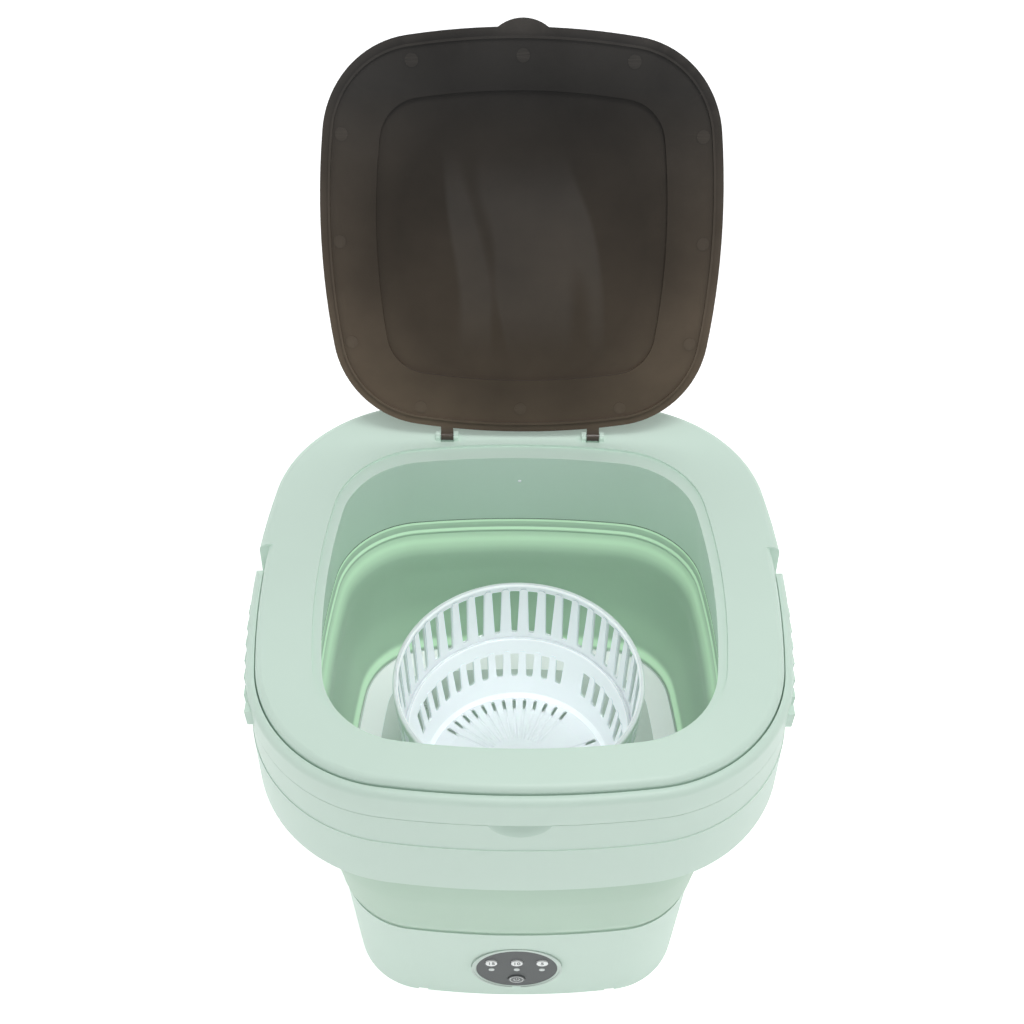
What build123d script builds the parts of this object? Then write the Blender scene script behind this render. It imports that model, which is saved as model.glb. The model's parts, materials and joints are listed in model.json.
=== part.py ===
from build123d import *
from dataclasses import dataclass
import math
import os

# Lengths are in millimetres and angles in degrees. Z is up, the floor is Z = 0 and the control
# panel faces -Y. The Z axis is the drive axis. The tub stands unfolded and the lid open.

# Heights, stacked from the floor up
FOOT_DROP = 2.0
BASE_HEIGHT = 120.0
BELLOWS_HEIGHT = 159.0
COLLAR_DEPTH = 85.0
RECESS_DEPTH = 2.0
SKIRT_DEPTH = 107.7
FRAME_DEPTH = 58.6

# Footprint of the base and how the bellows and the collar grow from it
BASE_HALF = 141.2
BASE_SIDE_RADIUS = 690.0
BASE_CORNER_RADIUS = 60.0
BASE_FLARE = 3.0
SEAM_GROWTH = 9.8

# Opening of the tub, the recess round it and the outline of the frame
OPENING_HALF_X = 136.0
OPENING_HALF_Y = 133.0
OPENING_SIDE_RADIUS = 540.0
OPENING_CORNER_RADIUS = 62.0
RECESS_SIDE = 6.8
RECESS_FRONT = 2.4
RECESS_REAR = 13.4
FRAME_HALF_X = 181.5
FRAME_HALF_Y = 179.4
FRAME_SIDE_RADIUS = 650.0
FRAME_CORNER_RADIUS = 104.0
FRAME_CENTRE_Y = 15.2
FRAME_TOP_OUT = 6.7
SKIRT_BOTTOM_OUT = 11.7
TOP_ROUND = 6.5
GAP_ROUND = 4.8
SKIRT_STEP = 0.6

# Joint between the frame and the skirt ring, held by screws
SEAM_TONGUE_HEIGHT = 8.0
SEAM_TONGUE_WALL = 1.8
FLANGE_REACH = 8.0
SCREW_INSET = 9.0
BOSS_RADIUS = 4.5
BOSS_BORE_DEPTH = 16.0
SIDE_SCREW_SPREAD = 70.0
END_SCREW_SPREAD = 60.0
FRAME_SCREW_LENGTH = 14.0

# Walls and clearances
WALL = 2.6
PLATE = 2.8
COLLAR_WALL = 2.4
BELLOWS_WALL = 2.2
LOOSE = 0.5
SNUG = 0.2
RUNNING = 0.05
CUT = 14.0

# Handle
HANDLE_HEIGHT = 24.2
HANDLE_DROP = 5.5
HANDLE_ROUND = 5.0
HANDLE_PIVOT_Y = 13.4
HANDLE_BOSS_RADIUS = 5.0
HANDLE_GAP = 1.0
HANDLE_POCKET = 3.0
HANDLE_RIM = 2.4
REBATE_BEHIND_PIVOT = 25.6
GRIP_COUNT = 7
GRIP_PITCH = 14.0
GRIP_WIDTH = 7.5
GRIP_PROUD = 0.4
GRIP_HEIGHT = 14.5
GRIP_RISE = 10.2
THUMB_HALF_WIDTH = 21.0
THUMB_DROP = 12.0
THUMB_DEPTH = 7.6

# Lid and hinges
LID_OPEN_ANGLE = 114.0
LID_PLATE = 2.2
LID_SIDE_OVERLAP = 2.7
LID_FRONT_OVERLAP = 1.6
LID_LIFT = 0.3
LID_TO_HINGE = 4.4
LID_MIDDLE_INSET = 38.0
LID_MIDDLE_RISE = 3.0
LID_RIB_INSET = 5.7
LID_RIB_WIDTH = 1.6
LID_RIB_DEPTH = 1.8
LID_TAB_WIDTH = 34.0
LID_TAB_LENGTH = 5.5
EJECTOR_RADIUS = 4.6
EJECTOR_DEPTH = 0.5
HINGE_SPREAD = 56.6
HINGE_BAR_RADIUS = 1.45
HINGE_HEIGHT = 2.0
TONGUE_WIDTH = 9.4
TONGUE_RADIUS = 3.4
POST_WIDTH = 3.4
HINGE_SLOT_HALF = 4.5

# Bellows: the sleeve that is clamped round the collar and the fold under it
SLEEVE_HEIGHT = 10.0
CLAMP_DROP = 2.0
FOLD_DROP = 4.0
INNER_LIFT = 0.5

# Tub floor and its sealed drive
FLOOR_THICKNESS = 2.6
FLOOR_SINK = 10.0
FLOOR_SLOPE_INSET = 20.0
TRAY_LEDGE = 3.0
TRAY_LIP = 2.0
FLOOR_LIP = 1.0
STRAINER_RADIUS = 13.0
STRAINER_PROUD = 0.6
STRAINER_RINGS = ((3.2, 6), (5.6, 12))
STRAINER_HOLE_RADIUS = 0.9
SHAFT_RADIUS = 4.0
BEARING_RADIUS = 11.0
BEARING_WIDTH = 7.0
BEARING_DROP = 5.4
BEARING_BOSS_WALL = 3.0
CUP_FLOOR = 2.0
SHAFT_COLLAR = 2.0
SHAFT_BORE_DEPTH = 12.0
SEAL_WIDTH = 6.6
SEAL_RADIUS = 9.0
GEAR_MODULE = 1.25
GEAR_TEETH = 60
PINION_TEETH = 12
GEAR_WIDTH = 9.0
GEAR_BACKLASH = 0.35
PRESSURE_ANGLE = 25.0
GEAR_DEDENDUM = 1.25
GEAR_LIFT = 4.0
FLANK_STEPS = 4
MOTOR_RADIUS = 22.0
MOTOR_LENGTH = 54.0
MOTOR_WALL = 2.0
MOTOR_TOP_WALL = 3.0
MOTOR_BOSS_RADIUS = 6.0
MOTOR_BOSS_HEIGHT = 3.0
MOTOR_SHAFT_RADIUS = 1.6
MOTOR_SHAFT_END = 1.0
MOTOR_SCREW_SPACING = 14.0
MOTOR_SCREW_LENGTH = 4.6
MAGNET_DEPTH = 3.0
ROTOR_GAP = 2.0
END_CAP_HEIGHT = 6.0
END_CAP_THICKNESS = 3.0
BRACKET_THICKNESS = 2.0
BRACKET_DROP = 31.4
BRACKET_MARGIN = 8.0
BRACKET_ROUND = 10.0
BRACKET_SCREW_LENGTH = 15.0
STANDOFF_RADIUS = 5.0
STANDOFF_X = (-30.0, 80.0)
STANDOFF_Y = (-38.0, 38.0)
SCREW_RADIUS = 1.5
SCREW_HEAD_RADIUS = 3.0
SCREW_HEAD_HEIGHT = 2.0

# Underside: the cover, the posts it is screwed to and the feet
LEDGE_DEPTH = 4.4
COVER_THICKNESS = 3.0
COVER_LIFT = 1.0
HEAD_SINK = 1.8
VENT_COUNT = 9
VENT_PITCH = 6.0
VENT_LENGTH = 30.0
VENT_WIDTH = 2.4
POST_RADIUS = 5.0
POST_TO_WALL = 3.5
POST_HEIGHT = 30.0
POST_BORE_DEPTH = 14.0
COVER_SCREW_LENGTH = 13.0
POST_X = 56.0
FOOT_RADIUS = 9.0
FOOT_SPACING = 190.0
NOTCH_X = 79.0
NOTCH_WIDTH = 8.0
NOTCH_HEIGHT = 2.5

# Pulsator and the two halves of the basket
PULSATOR_RADIUS = 70.0
PULSATOR_GAP = 1.5
PULSATOR_HUB_RADIUS = 12.0
PULSATOR_HUB_HEIGHT = 13.5
PULSATOR_THICKNESS = 3.5
PULSATOR_SCREW_LENGTH = 13.0
HUB_SINK = 5.0
HUB_CAP = 2.0
VANE_COUNT = 6
VANE_LENGTH = 60.0
VANE_WIDTH = 5.0
VANE_MIDDLE = 38.0
VANE_HEIGHT = 4.0
BOWL_FLOOR_LIFT = 16.5
BOWL_HEIGHT = 70.5
BOWL_BOTTOM_RADIUS = 81.0
BOWL_RIM_RADIUS = 90.9
BOWL_BEVEL = 4.0
BOWL_INNER_BEVEL = 3.0
RING_HEIGHT = 71.3
RING_RIM_RADIUS = 96.4
BASKET_WALL = 2.0
RIM_DEPTH = 3.0
RIM_FLARE = 1.8
RIM_ROUND = 1.5
RING_BEAD = 2.1
CONE_RISE = 7.5
CONE_INNER = 22.0
CONE_OUTER = 62.0
LIP_HEIGHT = 3.6
LIP_REACH = 1.1
LIP_DROP = 4.0
RIB_COUNT = 40
RIB_PROUD = 0.7
RIB_REACH = 3.0
RIB_FOOT_GAP = 1.6
RIB_HEAD_GAP = 1.1
RIB_FOOT_ROUND = 2.0
RIB_HEAD_ROUND = 2.2
BLANK_ANGLE = 34.0
BLANK_STEPS = (0, 13, 27)
BOWL_SLOT_FROM = 25.5
BOWL_SLOT_TO = 53.5
BOWL_SLOT_TOP_WIDTH = 7.4
BOWL_SLOT_BOTTOM_WIDTH = 5.4
BOWL_SLOT_ROUND = 2.4
RING_SLOT_FROM = 11.0
RING_SLOT_TO = 62.0
RING_SLOT_TOP_WIDTH = 8.2
RING_SLOT_BOTTOM_WIDTH = 4.6
RING_SLOT_ROUND = 1.8
SLOT_HEAD_ROUND = 1.0
FLOOR_SLOT_FROM = 65.0
FLOOR_SLOT_TO = 74.5
FLOOR_SLOT_WIDTH = 3.0
FLOOR_SLOT_PITCH = 7.5
FLOOR_SLOT_TURN = 10.0
FLOOR_SLOT_GROUPS = 3
FLOOR_SLOT_ROW = 13
FLUTE_FROM = 28.0
FLUTE_TO = 66.0
FLUTE_RADIUS = 1.6
FLUTE_DEPTH = 0.9

# Control panel
PANEL_RADIUS = 33.0
BEZEL_WIDTH = 3.7
BEZEL_STEP_WIDTH = 2.2
BEZEL_STEP_DEPTH = 0.4
BEZEL_REAR = 4.0
BEZEL_FLANGE_WIDTH = 2.5
BEZEL_FLANGE_THICKNESS = 1.6
BEZEL_NOTCH_WIDTH = 7.0
BEZEL_NOTCH_DEPTH = 1.7
PANEL_HEIGHT = 57.4
PANEL_PROUD = 1.4
BEZEL_LIP = 0.6
PANEL_PLATE = 1.8
OVERLAY_THICKNESS = 1.2
BUTTON_RADIUS = 4.7
BUTTON_SPACING = 20.5
BUTTON_RISE = 11.6
BUTTON_TRAVEL = 0.8
BUTTON_PROUD = 1.0
FLANGE_THICKNESS = 1.2
FLANGE_GAP = 0.3
FLANGE_WIDTH = 1.4
POWER_RADIUS = 6.8
POWER_DROP = 19.2
LAMP_RADIUS = 2.4
LAMP_DROP = 1.6
LAMP_PROUD = 0.3
BOARD_DEPTH = 9.6
BOARD_THICKNESS = 1.6
BOARD_HALF = 26.0
BOARD_ROUND = 3.0
BOARD_POST = 22.0
BOARD_POST_RADIUS = 2.6
BOARD_SCREW_RADIUS = 1.0
BOARD_HEAD_RADIUS = 2.2
BOARD_HEAD_HEIGHT = 1.4
SWITCH_RADIUS = 2.0
SWITCH_GAP = 0.1
LED_RADIUS = 1.5
LED_LENGTH = 1.6
CONNECTOR_HALF = 16.0
CONNECTOR_DEPTH = 6.0
CONNECTOR_RISE = 2.0
CONNECTOR_DROP = 12.0

# Drain and power inlet on the rear wall
DRAIN_X = -80.0
DRAIN_Y = 80.0
DRAIN_HEIGHT = 34.0
DRAIN_OUTER_RADIUS = 9.0
DRAIN_BORE_RADIUS = 6.5
DRAIN_REACH = 18.0
CAP_WALL = 2.4
CAP_DEPTH = 12.0
SOCKET_X = 80.0
SOCKET_HEIGHT = 44.0
SOCKET_BORE_RADIUS = 3.0
SOCKET_RADIUS = 5.0
SOCKET_DEPTH = 13.0
SOCKET_FLOOR = 3.0
SOCKET_PIN_RADIUS = 1.0
SOCKET_FLANGE_RADIUS = 7.0
SOCKET_FLANGE_THICKNESS = 1.6
WIRE_RADIUS = 1.4

# Levels worked out from the heights
BASE_BOTTOM = FOOT_DROP
BASE_TOP = BASE_BOTTOM + BASE_HEIGHT
SEAM_LEVEL = BASE_TOP + BELLOWS_HEIGHT
LEDGE_LEVEL = SEAM_LEVEL + COLLAR_DEPTH
TOP_LEVEL = LEDGE_LEVEL + RECESS_DEPTH
FRAME_BOTTOM = TOP_LEVEL - FRAME_DEPTH
SKIRT_BOTTOM = TOP_LEVEL - SKIRT_DEPTH
HANDLE_TOP = TOP_LEVEL - HANDLE_DROP
HANDLE_BOTTOM = HANDLE_TOP - HANDLE_HEIGHT
REBATE_FLOOR = HANDLE_BOTTOM - LOOSE
FLOOR_LEVEL = BASE_TOP - FLOOR_SINK
FLOOR_UNDERSIDE = FLOOR_LEVEL - FLOOR_THICKNESS
REBATE_END_Y = HANDLE_PIVOT_Y + REBATE_BEHIND_PIVOT
HANDLE_PIVOT_LEVEL = HANDLE_TOP - HANDLE_HEIGHT / 2


@dataclass(frozen=True)
class Outline:
    """A square with shallow arcs for sides and tighter arcs for corners, centred on the X axis line."""

    half_x: float
    half_y: float
    side: float
    corner: float
    centre_y: float = 0.0

    def grown(self, by):
        """The parallel outline at a distance, outward when positive."""
        sizes = (self.half_x + by, self.half_y + by, self.side + by, self.corner + by)
        return Outline(*sizes, self.centre_y)

    def draw(self):
        """Draws the eight tangent arcs in the open line."""
        across = self.side - self.half_x
        along = self.side - self.half_y
        reach = self.side - self.corner
        apart = math.hypot(across, along)
        rise = math.sqrt(reach**2 - (apart / 2) ** 2)
        corner = Vector(rise * along / apart - across / 2, rise * across / apart - along / 2)
        to_east = (corner - Vector(-across, 0)).normalized()
        to_north = (corner - Vector(0, -along)).normalized()
        east = Vector(-across, 0) + to_east * self.side
        north = Vector(0, -along) + to_north * self.side
        bend = corner + (to_east + to_north).normalized() * self.corner
        quarters = [
            [(sx * point.X, sy * point.Y + self.centre_y) for point in (east, bend, north)]
            for sx, sy in ((1, 1), (-1, 1), (-1, -1), (1, -1))
        ]
        for quarter in quarters:
            ThreePointArc(*quarter)
        for side in (-1, 1):
            upper, lower = (quarters[0], quarters[3]) if side > 0 else (quarters[1], quarters[2])
            ThreePointArc(lower[0], (side * self.half_x, self.centre_y), upper[0])
            left, right = (quarters[1], quarters[0]) if side > 0 else (quarters[2], quarters[3])
            ThreePointArc(left[2], (0, side * self.half_y + self.centre_y), right[2])

    def side_x(self, y):
        """How far out the right-hand side lies at a Y."""
        return self.half_x - self.side + math.sqrt(self.side**2 - (y - self.centre_y) ** 2)

    def front_y(self, x):
        """Where the front side lies at an X."""
        return self.centre_y - self.half_y + self.side - math.sqrt(self.side**2 - x**2)

    def rear_y(self, x):
        """Where the rear side lies at an X."""
        return 2 * self.centre_y - self.front_y(x)


base = Outline(BASE_HALF, BASE_HALF, BASE_SIDE_RADIUS, BASE_CORNER_RADIUS)
seam = base.grown(SEAM_GROWTH)
opening = Outline(OPENING_HALF_X, OPENING_HALF_Y, OPENING_SIDE_RADIUS, OPENING_CORNER_RADIUS)
recess = Outline(
    OPENING_HALF_X + RECESS_SIDE,
    OPENING_HALF_Y + (RECESS_FRONT + RECESS_REAR) / 2,
    OPENING_SIDE_RADIUS + RECESS_SIDE,
    OPENING_CORNER_RADIUS + RECESS_SIDE,
    (RECESS_REAR - RECESS_FRONT) / 2,
)
frame = Outline(FRAME_HALF_X, FRAME_HALF_Y, FRAME_SIDE_RADIUS, FRAME_CORNER_RADIUS, FRAME_CENTRE_Y)


def frame_out(level):
    """How far the outer skin stands out from the frame outline at a level."""
    return FRAME_TOP_OUT + (SKIRT_BOTTOM_OUT - FRAME_TOP_OUT) * (TOP_LEVEL - level) / SKIRT_DEPTH


def base_grow(level):
    """How far the base has flared at a level."""
    return BASE_FLARE * (level - BASE_BOTTOM) / BASE_HEIGHT


def face_of(outline, plane=Plane.XY):
    """The filled outline on a plane."""
    with BuildSketch(plane) as sketch:
        with BuildLine():
            outline.draw()
        make_face()
    return sketch.sketch


def block(outline, low, high, mode=Mode.ADD):
    """A straight block of an outline."""
    extrude(face_of(outline, Plane.XY.offset(low)), amount=high - low, mode=mode)


def taper(low_outline, low, high_outline, high, mode=Mode.ADD):
    """A block that changes from one outline to another."""
    ends = [face_of(low_outline, Plane.XY.offset(low)), face_of(high_outline, Plane.XY.offset(high))]
    loft(ends, mode=mode)


def stack(levels, family, mode=Mode.ADD):
    """Tapers piled on each other, from a list of (growth, level)."""
    for (low_grow, low), (high_grow, high) in zip(levels, levels[1:]):
        taper(family.grown(low_grow), low, family.grown(high_grow), high, mode=mode)


def bar(x, y, low, high, radius, mode=Mode.ADD):
    """An upright cylinder between two levels."""
    with Locations((x, y, (low + high) / 2)):
        Cylinder(radius, high - low, mode=mode)


def drill(x, y, low, high, radius):
    """An upright round hole between two levels."""
    bar(x, y, low, high, radius, mode=Mode.SUBTRACT)


def facing(y):
    """A plane that faces the front at a Y: its X is X and its Y is Z."""
    return Plane(origin=(0, y, 0), x_dir=(1, 0, 0), z_dir=(0, -1, 0))


def rod(x, z, front, rear, radius, mode=Mode.ADD):
    """A cylinder along Y between two places."""
    with Locations(Location((x, (front + rear) / 2, z), (90, 0, 0))):
        Cylinder(radius, rear - front, mode=mode)


def bore(x, z, front, rear, radius):
    """A round hole along Y between two places."""
    rod(x, z, front, rear, radius, mode=Mode.SUBTRACT)


def cuboid(x_range, y_range, z_range, mode=Mode.ADD):
    """A box between limits on the three axes."""
    with Locations((sum(x_range) / 2, sum(y_range) / 2, sum(z_range) / 2)):
        Box(x_range[1] - x_range[0], y_range[1] - y_range[0], z_range[1] - z_range[0], mode=mode)


def write(builder, name):
    """Labels a finished piece and writes it."""
    builder.part.label = name
    export_step(builder.part, f"parts/{name}.step")


os.makedirs("parts", exist_ok=True)

# Hinge axis and the plane that the lid is drawn on, tipped back by the opening angle
LID_REAR = recess.rear_y(0) + LID_SIDE_OVERLAP
LID_FRONT = recess.front_y(0) - LID_FRONT_OVERLAP
HINGE_Y = LID_REAR + LID_TO_HINGE
HINGE_LEVEL = TOP_LEVEL + HINGE_HEIGHT
LID_UNDERSIDE = LID_LIFT - HINGE_HEIGHT
OPEN = math.radians(LID_OPEN_ANGLE)
LID_PLANE = Plane(
    origin=(0, HINGE_Y, HINGE_LEVEL),
    x_dir=(1, 0, 0),
    z_dir=(0, math.sin(OPEN), math.cos(OPEN)),
)
LID_HALF_Y = (LID_REAR - LID_FRONT) / 2
lid_outline = Outline(
    recess.half_x + LID_SIDE_OVERLAP,
    LID_HALF_Y,
    recess.side + LID_SIDE_OVERLAP,
    recess.corner + LID_SIDE_OVERLAP,
    -LID_TO_HINGE - LID_HALF_Y,
)


def lid_block(outline, low, high, mode=Mode.ADD):
    """A block of the lid between two heights over the hinge axis, as it lies closed."""
    extrude(face_of(outline, LID_PLANE.offset(low)), amount=high - low, mode=mode)


def pivot_rod(inner, outer, radius, mode=Mode.ADD):
    """A pair of cylinders along X on the handle's pivot, one on each side."""
    for side in (-1, 1):
        middle = (side * (inner + outer) / 2, HANDLE_PIVOT_Y, HANDLE_PIVOT_LEVEL)
        with Locations(Location(middle, (0, 90, 0))):
            Cylinder(radius, outer - inner, mode=mode)


# Screws that pull the skirt ring up against bosses in the frame, as (x, y)
seam_inner = frame.grown(frame_out(FRAME_BOTTOM) - WALL)
side_screws = [
    (side * (seam_inner.side_x(y) - SCREW_INSET), y)
    for side in (-1, 1)
    for y in (FRAME_CENTRE_Y - SIDE_SCREW_SPREAD, FRAME_CENTRE_Y + SIDE_SCREW_SPREAD)
]
end_screws = [
    (x, y)
    for x in (-END_SCREW_SPREAD, END_SCREW_SPREAD)
    for y in (seam_inner.front_y(x) + SCREW_INSET, seam_inner.rear_y(x) - SCREW_INSET)
]
frame_screw_places = side_screws + end_screws

# Frame with the opening, the collar inside it, the rebate for the handle and the hinge posts
pivot_wall_x = frame.side_x(HANDLE_PIVOT_Y)
thumb_front = frame.front_y(0) - frame_out(REBATE_FLOOR)
thumb_disc = (THUMB_HALF_WIDTH**2 + THUMB_DROP**2) / (2 * THUMB_DROP)
thumb_level = REBATE_FLOOR - THUMB_DROP + thumb_disc
thumb_ball = (thumb_disc**2 + THUMB_DEPTH**2) / (2 * THUMB_DEPTH)
thumb_y = thumb_front + THUMB_DEPTH - thumb_ball

with BuildPart() as rear_top:
    taper(frame.grown(frame_out(FRAME_BOTTOM)), FRAME_BOTTOM, frame.grown(FRAME_TOP_OUT), TOP_LEVEL)
    fillet(rear_top.edges().group_by(Axis.Z)[-1], TOP_ROUND)
    split(bisect_by=Plane.XZ.offset(-REBATE_END_Y), keep=Keep.BOTTOM)

with BuildPart() as rear_channel:
    taper(
        frame.grown(frame_out(FRAME_BOTTOM) - WALL),
        FRAME_BOTTOM,
        frame.grown(frame_out(TOP_LEVEL - PLATE) - WALL),
        TOP_LEVEL - PLATE,
    )
    split(bisect_by=Plane.XZ.offset(-REBATE_END_Y - WALL), keep=Keep.BOTTOM)

with BuildPart() as channel:
    taper(
        frame.grown(frame_out(FRAME_BOTTOM) - WALL),
        FRAME_BOTTOM,
        frame.grown(frame_out(REBATE_FLOOR - WALL) - WALL),
        REBATE_FLOOR - WALL,
    )
    block(frame.grown(-WALL), FRAME_BOTTOM, TOP_LEVEL - PLATE)
    add(rear_channel.part)
    taper(
        seam.grown(COLLAR_WALL),
        SEAM_LEVEL,
        opening.grown(COLLAR_WALL),
        LEDGE_LEVEL,
        mode=Mode.SUBTRACT,
    )
    block(recess.grown(COLLAR_WALL), LEDGE_LEVEL - WALL, TOP_LEVEL, mode=Mode.SUBTRACT)

with BuildPart() as thumb_shell:
    with Locations((0, thumb_y, thumb_level)):
        Sphere(thumb_ball + WALL)
    cuboid(
        (-2 * THUMB_HALF_WIDTH, 2 * THUMB_HALF_WIDTH),
        (thumb_front + WALL / 2, thumb_front + 2 * THUMB_DEPTH),
        (REBATE_FLOOR - 2 * THUMB_DROP, REBATE_FLOOR),
        mode=Mode.INTERSECT,
    )

with BuildPart() as top_frame:
    block(frame, FRAME_BOTTOM, TOP_LEVEL)
    fillet(top_frame.edges().group_by(Axis.Z)[-1], GAP_ROUND)
    taper(
        frame.grown(frame_out(FRAME_BOTTOM)),
        FRAME_BOTTOM,
        frame.grown(frame_out(REBATE_FLOOR)),
        REBATE_FLOOR,
    )
    add(rear_top.part)
    add(channel.part, mode=Mode.SUBTRACT)
    taper(seam.grown(COLLAR_WALL), SEAM_LEVEL, opening.grown(COLLAR_WALL), LEDGE_LEVEL)
    taper(seam, SEAM_LEVEL, opening, LEDGE_LEVEL, mode=Mode.SUBTRACT)
    block(recess, LEDGE_LEVEL, TOP_LEVEL, mode=Mode.SUBTRACT)
    add(thumb_shell.part)
    with Locations((0, thumb_y, thumb_level)):
        Sphere(thumb_ball, mode=Mode.SUBTRACT)
    for x, y in frame_screw_places:
        top = TOP_LEVEL - PLATE / 2 if y > REBATE_END_Y else REBATE_FLOOR - WALL / 2
        bar(x, y, FRAME_BOTTOM, top, BOSS_RADIUS)
        drill(x, y, FRAME_BOTTOM, FRAME_BOTTOM + BOSS_BORE_DEPTH, SCREW_RADIUS + RUNNING)
    pivot_rod(
        pivot_wall_x - 2 * WALL,
        pivot_wall_x + WALL,
        HANDLE_BOSS_RADIUS + RUNNING,
        mode=Mode.SUBTRACT,
    )
    for x in (-HINGE_SPREAD, HINGE_SPREAD):
        slot = TONGUE_WIDTH / 2 + LOOSE
        cuboid(
            (x - slot, x + slot),
            (HINGE_Y - HINGE_SLOT_HALF, HINGE_Y + HINGE_SLOT_HALF),
            (TOP_LEVEL - 2 * PLATE, TOP_LEVEL),
            mode=Mode.SUBTRACT,
        )
        with Locations(Location((x, HINGE_Y, HINGE_LEVEL), (0, 90, 0))):
            Cylinder(HINGE_BAR_RADIUS, 2 * slot + POST_WIDTH)
        for side in (-1, 1):
            middle = x + side * (slot + POST_WIDTH / 2)
            with Locations(Location((middle, HINGE_Y, HINGE_LEVEL), (0, 90, 0))):
                Cylinder(TONGUE_RADIUS, POST_WIDTH)
            cuboid(
                (middle - POST_WIDTH / 2, middle + POST_WIDTH / 2),
                (HINGE_Y - TONGUE_RADIUS, HINGE_Y + TONGUE_RADIUS),
                (TOP_LEVEL - PLATE / 2, HINGE_LEVEL),
            )
write(top_frame, "top_frame")

# Skirt ring that carries the frame's skin on down, with a tongue inside the frame's edge
tongue_out = frame_out(FRAME_BOTTOM + SEAM_TONGUE_HEIGHT) - WALL - SNUG

with BuildPart() as skirt_ring:
    taper(
        frame.grown(frame_out(SKIRT_BOTTOM) + SKIRT_STEP),
        SKIRT_BOTTOM,
        frame.grown(frame_out(FRAME_BOTTOM) + SKIRT_STEP),
        FRAME_BOTTOM,
    )
    taper(
        frame.grown(frame_out(SKIRT_BOTTOM) + SKIRT_STEP - WALL),
        SKIRT_BOTTOM,
        frame.grown(frame_out(FRAME_BOTTOM - PLATE) + SKIRT_STEP - WALL),
        FRAME_BOTTOM - PLATE,
        mode=Mode.SUBTRACT,
    )
    block(frame.grown(tongue_out), FRAME_BOTTOM, FRAME_BOTTOM + SEAM_TONGUE_HEIGHT)
    block(
        frame.grown(tongue_out - SEAM_TONGUE_WALL),
        FRAME_BOTTOM,
        FRAME_BOTTOM + SEAM_TONGUE_HEIGHT,
        mode=Mode.SUBTRACT,
    )
    block(frame.grown(-FLANGE_REACH), FRAME_BOTTOM - PLATE, FRAME_BOTTOM, mode=Mode.SUBTRACT)
    for x, y in frame_screw_places:
        drill(x, y, FRAME_BOTTOM - PLATE, FRAME_BOTTOM, SCREW_RADIUS + SNUG)
write(skirt_ring, "skirt_ring")


def screw(x, y, seat, length):
    """A pan-head screw with its head against a level; the shank runs up when the length is positive."""
    head = seat - math.copysign(SCREW_HEAD_HEIGHT, length)
    bar(x, y, min(seat, head), max(seat, head), SCREW_HEAD_RADIUS)
    bar(x, y, min(seat, seat + length), max(seat, seat + length), SCREW_RADIUS)


with BuildPart() as frame_screws:
    for x, y in frame_screw_places:
        screw(x, y, FRAME_BOTTOM - PLATE, FRAME_SCREW_LENGTH)
write(frame_screws, "frame_screws")

# Handle round the front, hollow on its inner face, with a boss through the frame on each side
with BuildPart() as handle_side_view:
    cuboid(
        (-2 * FRAME_HALF_X, 2 * FRAME_HALF_X),
        (-2 * FRAME_HALF_Y, HANDLE_PIVOT_Y),
        (HANDLE_BOTTOM, HANDLE_TOP),
    )
    with Locations(Location((0, HANDLE_PIVOT_Y, HANDLE_PIVOT_LEVEL), (0, 90, 0))):
        Cylinder(HANDLE_HEIGHT / 2, 4 * FRAME_HALF_X)

with BuildPart() as handle_pocket:
    block(
        frame.grown(HANDLE_GAP + HANDLE_POCKET),
        HANDLE_BOTTOM + HANDLE_RIM,
        HANDLE_TOP - 2 * HANDLE_RIM,
    )
    split(bisect_by=Plane.XZ.offset(HANDLE_HEIGHT - HANDLE_PIVOT_Y), keep=Keep.TOP)

with BuildPart() as handle:
    taper(
        frame.grown(frame_out(HANDLE_BOTTOM)),
        HANDLE_BOTTOM,
        frame.grown(frame_out(HANDLE_TOP)),
        HANDLE_TOP,
    )
    fillet(handle.edges().group_by(Axis.Z)[-1], HANDLE_ROUND)
    for side in (-1, 1):
        for step in range(GRIP_COUNT):
            y = HANDLE_PIVOT_Y - HANDLE_HEIGHT - GRIP_PITCH * step
            out = frame.side_x(y) + frame_out(HANDLE_BOTTOM) - WALL
            with Locations((side * out, y, HANDLE_BOTTOM + GRIP_RISE)):
                Box(2 * WALL + GRIP_PROUD, GRIP_WIDTH, GRIP_HEIGHT)
    block(frame.grown(HANDLE_GAP), HANDLE_BOTTOM, HANDLE_TOP, mode=Mode.SUBTRACT)
    add(handle_pocket.part, mode=Mode.SUBTRACT)
    add(handle_side_view.part, mode=Mode.INTERSECT)
    pivot_rod(pivot_wall_x - WALL - LOOSE, pivot_wall_x + 2 * WALL, HANDLE_BOSS_RADIUS)
    pivot_rod(
        pivot_wall_x - WALL - LOOSE,
        pivot_wall_x + WALL,
        SCREW_RADIUS + RUNNING,
        mode=Mode.SUBTRACT,
    )
write(handle, "handle")

with BuildPart() as handle_retainers:
    pivot_rod(pivot_wall_x - 2 * WALL - LOOSE, pivot_wall_x - WALL - LOOSE, HANDLE_BOSS_RADIUS + WALL)
    pivot_rod(pivot_wall_x - WALL - LOOSE, pivot_wall_x + WALL / 2, SCREW_RADIUS)
write(handle_retainers, "handle_retainers")

# Lid, drawn as it lies closed on the tipped plane
LID_TOP = LID_UNDERSIDE + LID_PLATE
TAB_DISC_RADIUS = (LID_TAB_WIDTH / 2) ** 2 / (2 * LID_TAB_LENGTH) + LID_TAB_LENGTH / 2
EJECTOR_PLACES = (
    (0, -18.5),
    (0, 18.0 - 2 * LID_HALF_Y),
    (76.5, -19.5),
    (76.5, 21.5 - 2 * LID_HALF_Y),
    (127.0, 73.5 - LID_HALF_Y),
    (127.0, -73.5 - LID_HALF_Y),
    (132.0, -LID_HALF_Y),
)
tab_y = -LID_TO_HINGE - 2 * LID_HALF_Y

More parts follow.
